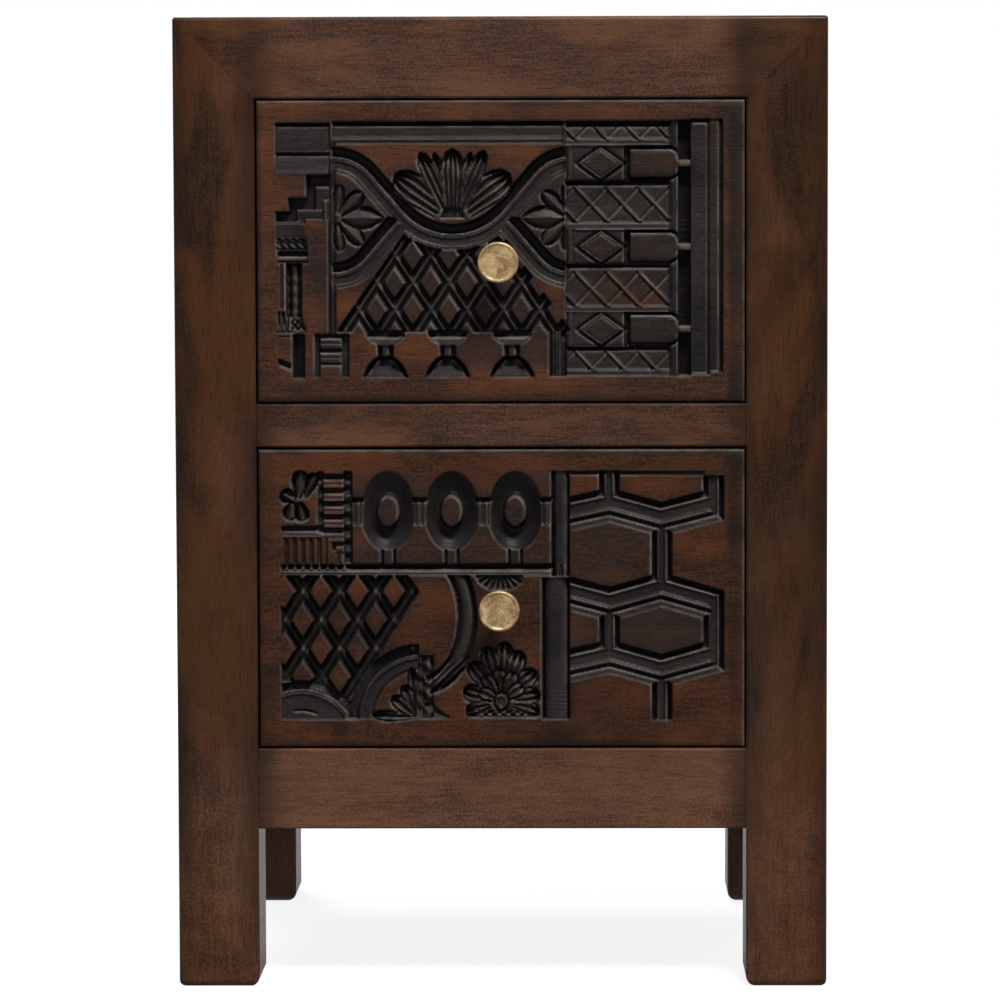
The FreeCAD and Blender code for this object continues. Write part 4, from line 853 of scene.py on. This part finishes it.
def bareOf(level, x, z):
    # Places where the cuts stay brown
    bare = zones(bareLook[level], x, z)
    if level == "upper":
        bare = np.maximum(bare, 0.7 * ramp(inBox(x, z, 129.4, 135, 10, 81), -0.3, 0.6) * ramp(z, 10, 64))
        for height in hinge["levels"]:
            pin = inBox(x, z, *hinge["pin"], height - 2.8, height + 2.8)
            bare = np.maximum(bare, ramp(pin, -0.3, 0.6))
    return bare


def wearAndHighlightLines(level, x, z):
    # Pale lines on ridges, rims, crossings and pins: painted highlight on the sides that face the light,
    # partly rubbed wear
    if level == "lower":
        crossings = 1 - ramp(np.hypot(*latticeAway(x, z, lowerLattice)), 0.8, 1.9)
        return 0.6 * crossings * ramp(inBox(x, z, -137, -55, -48, 10), 0, 1)
    lines = np.zeros(x.shape)
    for top, bottom, middle in hinge["rows"]:
        zone = inBox(x, z, 47, 103.6, max(bottom + 3.6, middle - 9.8), min(top - 3.8, middle + 9.8))
        for lean, strength in ((-1, 0.85), (1, 0.4)):
            ridge = 1 - ramp(np.abs(zigzagAway(x, z, middle, lean) - 0.6), 0.4, 1.3)
            lines = np.maximum(lines, strength * ridge * ramp(zone, -0.4, 0.4))
    for height in hinge["levels"]:
        rim = 1 - ramp(np.abs(diamondReach(x, z, height) - 0.97), 0.02, 0.07)
        lines = np.maximum(lines, 0.55 * rim * ramp(z, height, height + 1))
        pin = inBox(x, z, 110.8, 117.4, height - 2, height + 2.2)
        lines = np.maximum(lines, 0.5 * ramp(pin, -0.3, 0.6))
    return lines


def blurred(values, reach):
    weights = np.exp(-0.5 * (np.arange(-3 * reach, 3 * reach + 1) / reach) ** 2)
    weights = weights / weights.sum()
    padded = np.pad(values, 3 * reach, mode="edge")
    rows = np.apply_along_axis(np.convolve, 0, padded, weights, "valid")
    return np.apply_along_axis(np.convolve, 1, rows, weights, "valid")


# Boards: fit lays the carving's own measures over the board, smudges are place, reach and strength
boardLook = {"step": 0.74, "field": (-140.4, 138.4, -79.4, 81.2), "edge": 1.8, "deeper": 0.11,
    "inset": 0.2, "tailDepth": 11.4, "bevel": 0.6, "sharp": 38,
    "masks": ("stain", "smear", "rub", "paintedShade"), "dullLattice": (-138, -52, -52, 14),
    "darkEdges": {"upper": {(-3, 3): ((0.85, (139, 152, -93, 93)),)},
        "lower": {(-3, 3): ((0.45, (-152, -139, -93, 93)), (0.7, (138.4, 152, -93, 93)))}},
    "fitX": {"upper": (1.006, 0), "lower": (1.0068, -1.1)},
    "fitZ": {"upper": ((-90, -90.7), (-76.6, -77.3), (0, 0), (90, 90)),
        "lower": ((-90, -91.4), (-74.8, -76.2), (-40, -40.4), (20, 20), (78.6, 78.9), (90, 90.3))},
    "smudges": {"upper": ((138, 86, 20, 0.9), (146, 10, 12, 0.6), (-128, -84, 20, 0.6),
            (-140, -62, 14, 0.5), (20, -66, 18, 0.5), (-113, -10, 26, 0.95), (144, 44, 15, 0.8),
            (145, -20, 13, 0.7), (143, -66, 15, 0.8)),
        "lower": ((-143, -44, 16, 0.8), (40, -86, 24, 0.5), (-100, -84, 16, 0.5), (118, 30, 10, 0.5),
            (138, 8, 12, 0.5), (-40, 86, 22, 0.5))}}


def gridLines(low, high, start, end):
    # Fine lines over the carved field, a few over the plain margins and the rounded edge
    edge = boardLook["edge"]
    turns = edge * (1 - np.cos(np.linspace(0, math.pi / 2, 5)))
    margin = np.linspace(edge, start - low, 4)[1:-1]
    fine = np.linspace(start, end, int(round((end - start) / boardLook["step"])) + 1)
    other = np.linspace(end, high - edge, 4)[1:-1]
    return np.concatenate([low + turns, low + margin, fine, other, (high - turns)[::-1]])


def carvedDepth(level, x, z, u, v, width, half):
    quarter, edge = boardLook["step"] / 4, boardLook["edge"]
    depth = np.zeros(x.shape)
    for dz, dx in itertools.product((-quarter, quarter), repeat=2):
        cut = Relief(u + dx, v + dz)
        for motif in motifs[level]:
            motif(cut)
        depth = depth + cut.depth / 4
    for away in (width - np.abs(x), half - np.abs(z)):
        near = np.clip(edge - away, 0, edge)
        depth = np.maximum(depth, edge - np.sqrt(edge ** 2 - near ** 2))
    return depth + boardLook["deeper"] * depth ** 2


def patina(level, x, z, u, v, depth, width, half):
    soft = blurred(depth, 1)
    upward, rightward = np.gradient(soft)
    stain = np.maximum(ramp(depth, 0.15, 0.9), stainOf(level, u, v))
    stain = stain * (1 - bareOf(level, u, v) * (1 - ramp(depth, 2, 3.4)))
    stain = np.where(inBox(x, z, *boardLook["field"]) < 0.0, 0.0, stain)
    # Painted highlight: pale on ridge tops and flanks that face up and to the right, toward the key lamp,
    # standing also for rubbed wear
    lit = ramp(0.85 * upward + 0.5 * rightward, -0.1, 0.3)
    rub = 0.7 * np.clip((soft - depth) / 0.5, 0, 1) * lit
    # Painted shade: black in deep cuts and on walls that face down, away from the light
    paintedShade = np.maximum(ramp(depth, 4.2, 8), ramp(-upward, 0.35, 1.4))
    if level == "lower":
        dull = ramp(inBox(u, v, *boardLook["dullLattice"]), -1, 1)
        rub = rub * (1 - 0.65 * dull)
        # Painted shade deepened in the grooves of the lower lattice
        paintedShade = np.maximum(paintedShade, 0.7 * dull * ramp(depth, 0.6, 1.6))
    # Pale top and right edges of the board: painted highlight along with rubbed wear
    rubbedAndLitEdge = 1 - ramp(np.minimum(half - z, width - x), 0.8, 1.9)
    rub = np.maximum(np.maximum(rub, wearAndHighlightLines(level, u, v)), 0.45 * rubbedAndLitEdge)
    # Darker within 7 mm of the board's edges
    sootyEdge = 1 - ramp(inBox(x, z, -width, width, -half, half), 0, 7)
    smear = np.maximum(blurred(stain, 5), 0.75 * sootyEdge)
    smear = np.maximum(smear, zones(boardLook["darkEdges"][level], x, z))
    for spotX, spotZ, reach, strength in boardLook["smudges"][level]:
        smear = np.maximum(smear, strength * (1 - ramp(np.hypot(x - spotX, 1.6 * (z - spotZ)), 0, reach)))
    return stain, smear, rub, paintedShade


def boardMesh(name, x, y, z, tail, back, masks):
    # Front face, then sides that step in behind the front so that the dovetails show
    front = np.stack([x, y, z], -1).reshape(-1, 3)
    index = np.arange(x.size).reshape(x.shape)
    quads = np.stack([index[:-1, :-1], index[:-1, 1:], index[1:, 1:], index[1:, :-1]], -1).reshape(-1, 4)
    rim = np.concatenate([index[0, :], index[1:, -1], index[-1, -2::-1], index[-2:0:-1, 0]])
    verts, faces, previous = [front], [quads], rim
    inset, bevel, width = boardLook["inset"], boardLook["bevel"], x.max()
    rings = ((tail, 0), (tail, inset), (back - bevel, inset), (back, inset + bevel))
    for step, (depth, shrink) in enumerate(rings):
        verts.append(front[rim] * ((width - shrink) / width, 0, 1) + (0, depth, 0))
        current = x.size + step * len(rim) + np.arange(len(rim))
        faces.append(np.stack([current, np.roll(current, -1), np.roll(previous, -1), previous], -1))
        previous = current
    verts = np.concatenate(verts) / 1000
    mesh = bpy.data.meshes.new(name)
    mesh.from_pydata(verts.tolist(), [], np.concatenate(faces).tolist() + [previous.tolist()])
    for label, values in zip(boardLook["masks"], masks):
        padded = np.zeros(len(verts), np.float32)
        padded[:x.size] = values.reshape(-1)
        mesh.attributes.new(label, "FLOAT", "POINT").data.foreach_set("value", padded)
    mesh.polygons.foreach_set("use_smooth", np.arange(len(mesh.polygons)) < len(quads))
    mesh.set_sharp_from_angle(angle=math.radians(boardLook["sharp"]))
    return mesh


patinaLook = {"upper": tones(dark=(43, 26, 18), mid=(74, 46, 32), warm=(106, 60, 34), marks=(14, 10, 9),
        soot=(31, 23, 20)),
    "lower": tones(dark=(39, 22, 13), mid=(72, 43, 26), warm=(100, 55, 28), marks=(14, 10, 9),
        soot=(28, 20, 15)),
    **tones(black=(13, 11, 11), charcoal=(46, 41, 40), rub=(116, 106, 100)),
    "smearShare": 0.55, "sootRange": (0.6, 1, 0, 0.85), "dustClouds": (0.36, 0.62, 0.45, 1),
    "dustStreaks": (0, 1, 0.6, 1.12), "paintedShadeShare": 0.85, "rubAndHighlightNoise": (90, 4),
    "rubAndHighlightGaps": (0.35, 0.6, 0.4, 0.95), "rubAndHighlightNear": (0.1, 0.6), "rough": (0, 1, 0.5, 0.42),
    "bump": (0.4, 0.0004), "shine": 0.16}


def carvedMaterial(level):
    look, wood = patinaLook, patinaLook[level]
    material, tree = newMaterial(level + "CarvedWood")
    place, grain = grainIn(tree, "x")
    stain, smear, rub, paintedShade = [add(tree, "ShaderNodeAttribute", attribute_name=name).outputs["Fac"]
        for name in boardLook["masks"]]
    smoky = calc("MULTIPLY_ADD", smear, look["smearShare"], grain["Clouds"])
    colour = grained(grain, wood)
    colour = blendColour(spread(smoky, *look["sootRange"]), colour, wood["soot"])
    dust = times(spread(grain["Clouds"], *look["dustClouds"]),
        spread(grain["Streaks"], *look["dustStreaks"]))
    colour = blendColour(stain, colour, blendColour(dust, look["black"], look["charcoal"]))
    # Painted shade in deep cuts and on down-facing walls
    colour = blendColour(times(paintedShade, look["paintedShadeShare"]), colour, look["black"])
    # Pale grey of rubbed wear and painted highlight
    gaps = spread(noise(place, *look["rubAndHighlightNoise"]), *look["rubAndHighlightGaps"])
    rubbedAndLit = times(times(rub, gaps), spread(smear, *look["rubAndHighlightNear"]))
    colour = blendColour(rubbedAndLit, colour, look["rub"])
    rough = spread(stain, *look["rough"])
    finishMaterial(colour, rough, grain["Height"], look["bump"], shine=look["shine"])
    return material


def newObject(name, data):
    obj = bpy.data.objects.new(name, data)
    scene.collection.objects.link(obj)
    return obj


def carvedBoard(level):
    low, high = [Vector(corner) * 1000 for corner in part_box(level + "_drawer_front")]
    width, half = high.x, (high.z - low.z) / 2
    field = boardLook["field"]
    x, z = np.meshgrid(gridLines(low.x, high.x, *field[:2]), gridLines(-half, half, *field[2:]))
    stretch, slide = boardLook["fitX"][level]
    u, v = x * stretch + slide, shaped(z, *boardLook["fitZ"][level])
    depth = carvedDepth(level, x, z, u, v, width, half)
    masks = patina(level, x, z, u, v, depth, width, half)
    mesh = boardMesh(level + "CarvedFront", x, low.y + depth, z + (low.z + high.z) / 2,
        low.y + boardLook["tailDepth"], high.y, masks)
    mesh.materials.append(carvedMaterial(level))
    obj = newObject(level + "CarvedFront", mesh)
    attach(obj, level + "_drawer")
    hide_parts(level + "_drawer_front")
    print(obj.name, "made:", len(mesh.polygons), "faces, deepest", round(float(depth.max()), 2), "mm")


for level in levels:
    carvedBoard(level)


# Knobs, turned in brass with a raised rim: radius and distance from the back or from the tip
knobLook = {"facets": 72, "fromBack": ((0, 0), (7, 0), (7, 1.8), (6.2, 2.8), (5.2, 3.2), (4.6, 4.6)),
    "fromTip": ((4.6, 9.6), (5.4, 7.4), (8, 5.8), (11.3, 4.8), (12.2, 4.2), (12.5, 3.2), (12.5, 1.4),
        (12.2, 0.5), (11.6, 0), (11, 0.1), (10.6, 0.6), (10.2, 0.75), (6, 0.55), (0, 0.45))}


def turnedKnob(level):
    low, high = [Vector(corner) * 1000 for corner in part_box(level + "_knob")]
    middle, count = (low + high) / 2, knobLook["facets"]
    outline = [(reach, high.y - away) for reach, away in knobLook["fromBack"]]
    outline += [(reach, low.y + away) for reach, away in knobLook["fromTip"]]
    verts, faces = [], []
    for reach, y in outline:
        for turn in range(count):
            x, z = around((middle.x, middle.z), 360 * turn / count, reach)
            verts.append((x / 1000, y / 1000, z / 1000))
    for ring, turn in itertools.product(range(len(outline) - 1), range(count)):
        a, b = ring * count + turn, ring * count + (turn + 1) % count
        faces.append((a, b, b + count, a + count))
    mesh = bpy.data.meshes.new(level + "Knob")
    mesh.from_pydata(verts, [], faces)
    mesh.validate()
    mesh.polygons.foreach_set("use_smooth", [True] * len(mesh.polygons))
    mesh.materials.append(brass)
    obj = newObject(level + "Knob", mesh)
    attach(obj, level + "_drawer")
    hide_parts(level + "_knob")


for level in levels:
    turnedKnob(level)
print("knobs turned")


# Floor, light and camera; a lamp is place, target, size and power
stageLook = {"white": (1, 1, 1, 1), "floorReach": 6, "floorRows": 6, "floorGrey": (0.32, 0.32, 0.32, 1),
    "floorRough": 0.9, "glow": (0.3, 1.1, 0.86, 1), "floorMirrored": (-0.2, 0, 0, 0.8),
    "ambient": 0.25, "mirrored": (-0.3, 0.5, 0.02, 1),
    "lamps": {"keyLamp": ((0.85, -2.2, 3.4), (0, -0.1, 0.35), (1.4, 0.8), 152),
        "fillLamp": ((-1.6, -2.2, 1.2), (0, 0, 0.3), (1.2, 1.2), 6),
        "rearLamp": ((-1.1, 2.6, 2.4), (0, 0.1, 0.3), (1.4, 1), 60)}}


def floorPlane():
    rows = stageLook["floorRows"]
    steps = np.linspace(-stageLook["floorReach"], stageLook["floorReach"], rows)
    verts = [(x, y, 0) for y in steps for x in steps]
    corners = [r * rows + c for r in range(rows - 1) for c in range(rows - 1)]
    mesh = bpy.data.meshes.new("floor")
    mesh.from_pydata(verts, [], [(a, a + 1, a + rows + 1, a + rows) for a in corners])
    material, tree = newMaterial("floorPaper")
    path = add(tree, "ShaderNodeLightPath").outputs
    place = add(tree, "ShaderNodeTexCoord").outputs["Object"]
    glow = spread(vectorCalc("LENGTH", place)["Value"], *stageLook["glow"])
    rearward = add(tree, "ShaderNodeSeparateXYZ", {0: place}).outputs["Y"]
    mirrored = times(path["Is Glossy Ray"], spread(rearward, *stageLook["floorMirrored"]))
    seen = calc("MAXIMUM", path["Is Camera Ray"], mirrored)
    fill(tree.nodes["Principled BSDF"], {
        "Base Color": stageLook["floorGrey"], "Roughness": stageLook["floorRough"], "Specular IOR Level": 0,
        "Emission Color": stageLook["white"], "Emission Strength": times(seen, glow)})
    mesh.materials.append(material)
    newObject("floor", mesh)


def studioWorld():
    world = bpy.data.worlds.new("studio")
    world.use_nodes = True
    tree = world.node_tree
    path = add(tree, "ShaderNodeLightPath").outputs
    towards = add(tree, "ShaderNodeSeparateXYZ", {0: add(tree, "ShaderNodeTexCoord").outputs["Generated"]})
    mirrored = spread(towards.outputs["Y"], *stageLook["mirrored"])
    strength = spread(path["Is Glossy Ray"], 0, 1, stageLook["ambient"], mirrored)
    strength = spread(path["Is Camera Ray"], 0, 1, strength, 1)
    fill(tree.nodes["Background"], {"Strength": strength, "Color": stageLook["white"]})
    scene.world = world


def softLamp(name, place, target, size, power):
    lamp = bpy.data.lights.new(name, "AREA")
    lamp.shape = "RECTANGLE"
    lamp.size, lamp.size_y = size
    lamp.energy = power
    obj = newObject(name, lamp)
    obj.location = place
    obj.rotation_euler = (Vector(target) - Vector(place)).to_track_quat("-Z", "Y").to_euler()


cameraLook = {"lens": 136.44, "sensor": 36, "shift": (-0.0431, -0.0478), "place": (0.0506, -2.493, 0.469),
    "turn": (90 - 3.35, 0.142, 0.6)}


def photoCamera():
    camera = bpy.data.cameras.new("camera")
    camera.lens = cameraLook["lens"]
    camera.sensor_width = cameraLook["sensor"]
    camera.shift_x, camera.shift_y = cameraLook["shift"]
    obj = newObject("camera", camera)
    obj.location = cameraLook["place"]
    obj.rotation_euler = [math.radians(turn) for turn in cameraLook["turn"]]
    scene.camera = obj


floorPlane()
studioWorld()
for name, settings in stageLook["lamps"].items():
    softLamp(name, *settings)
photoCamera()
scene.view_settings.view_transform = "Standard"
print("stage set")
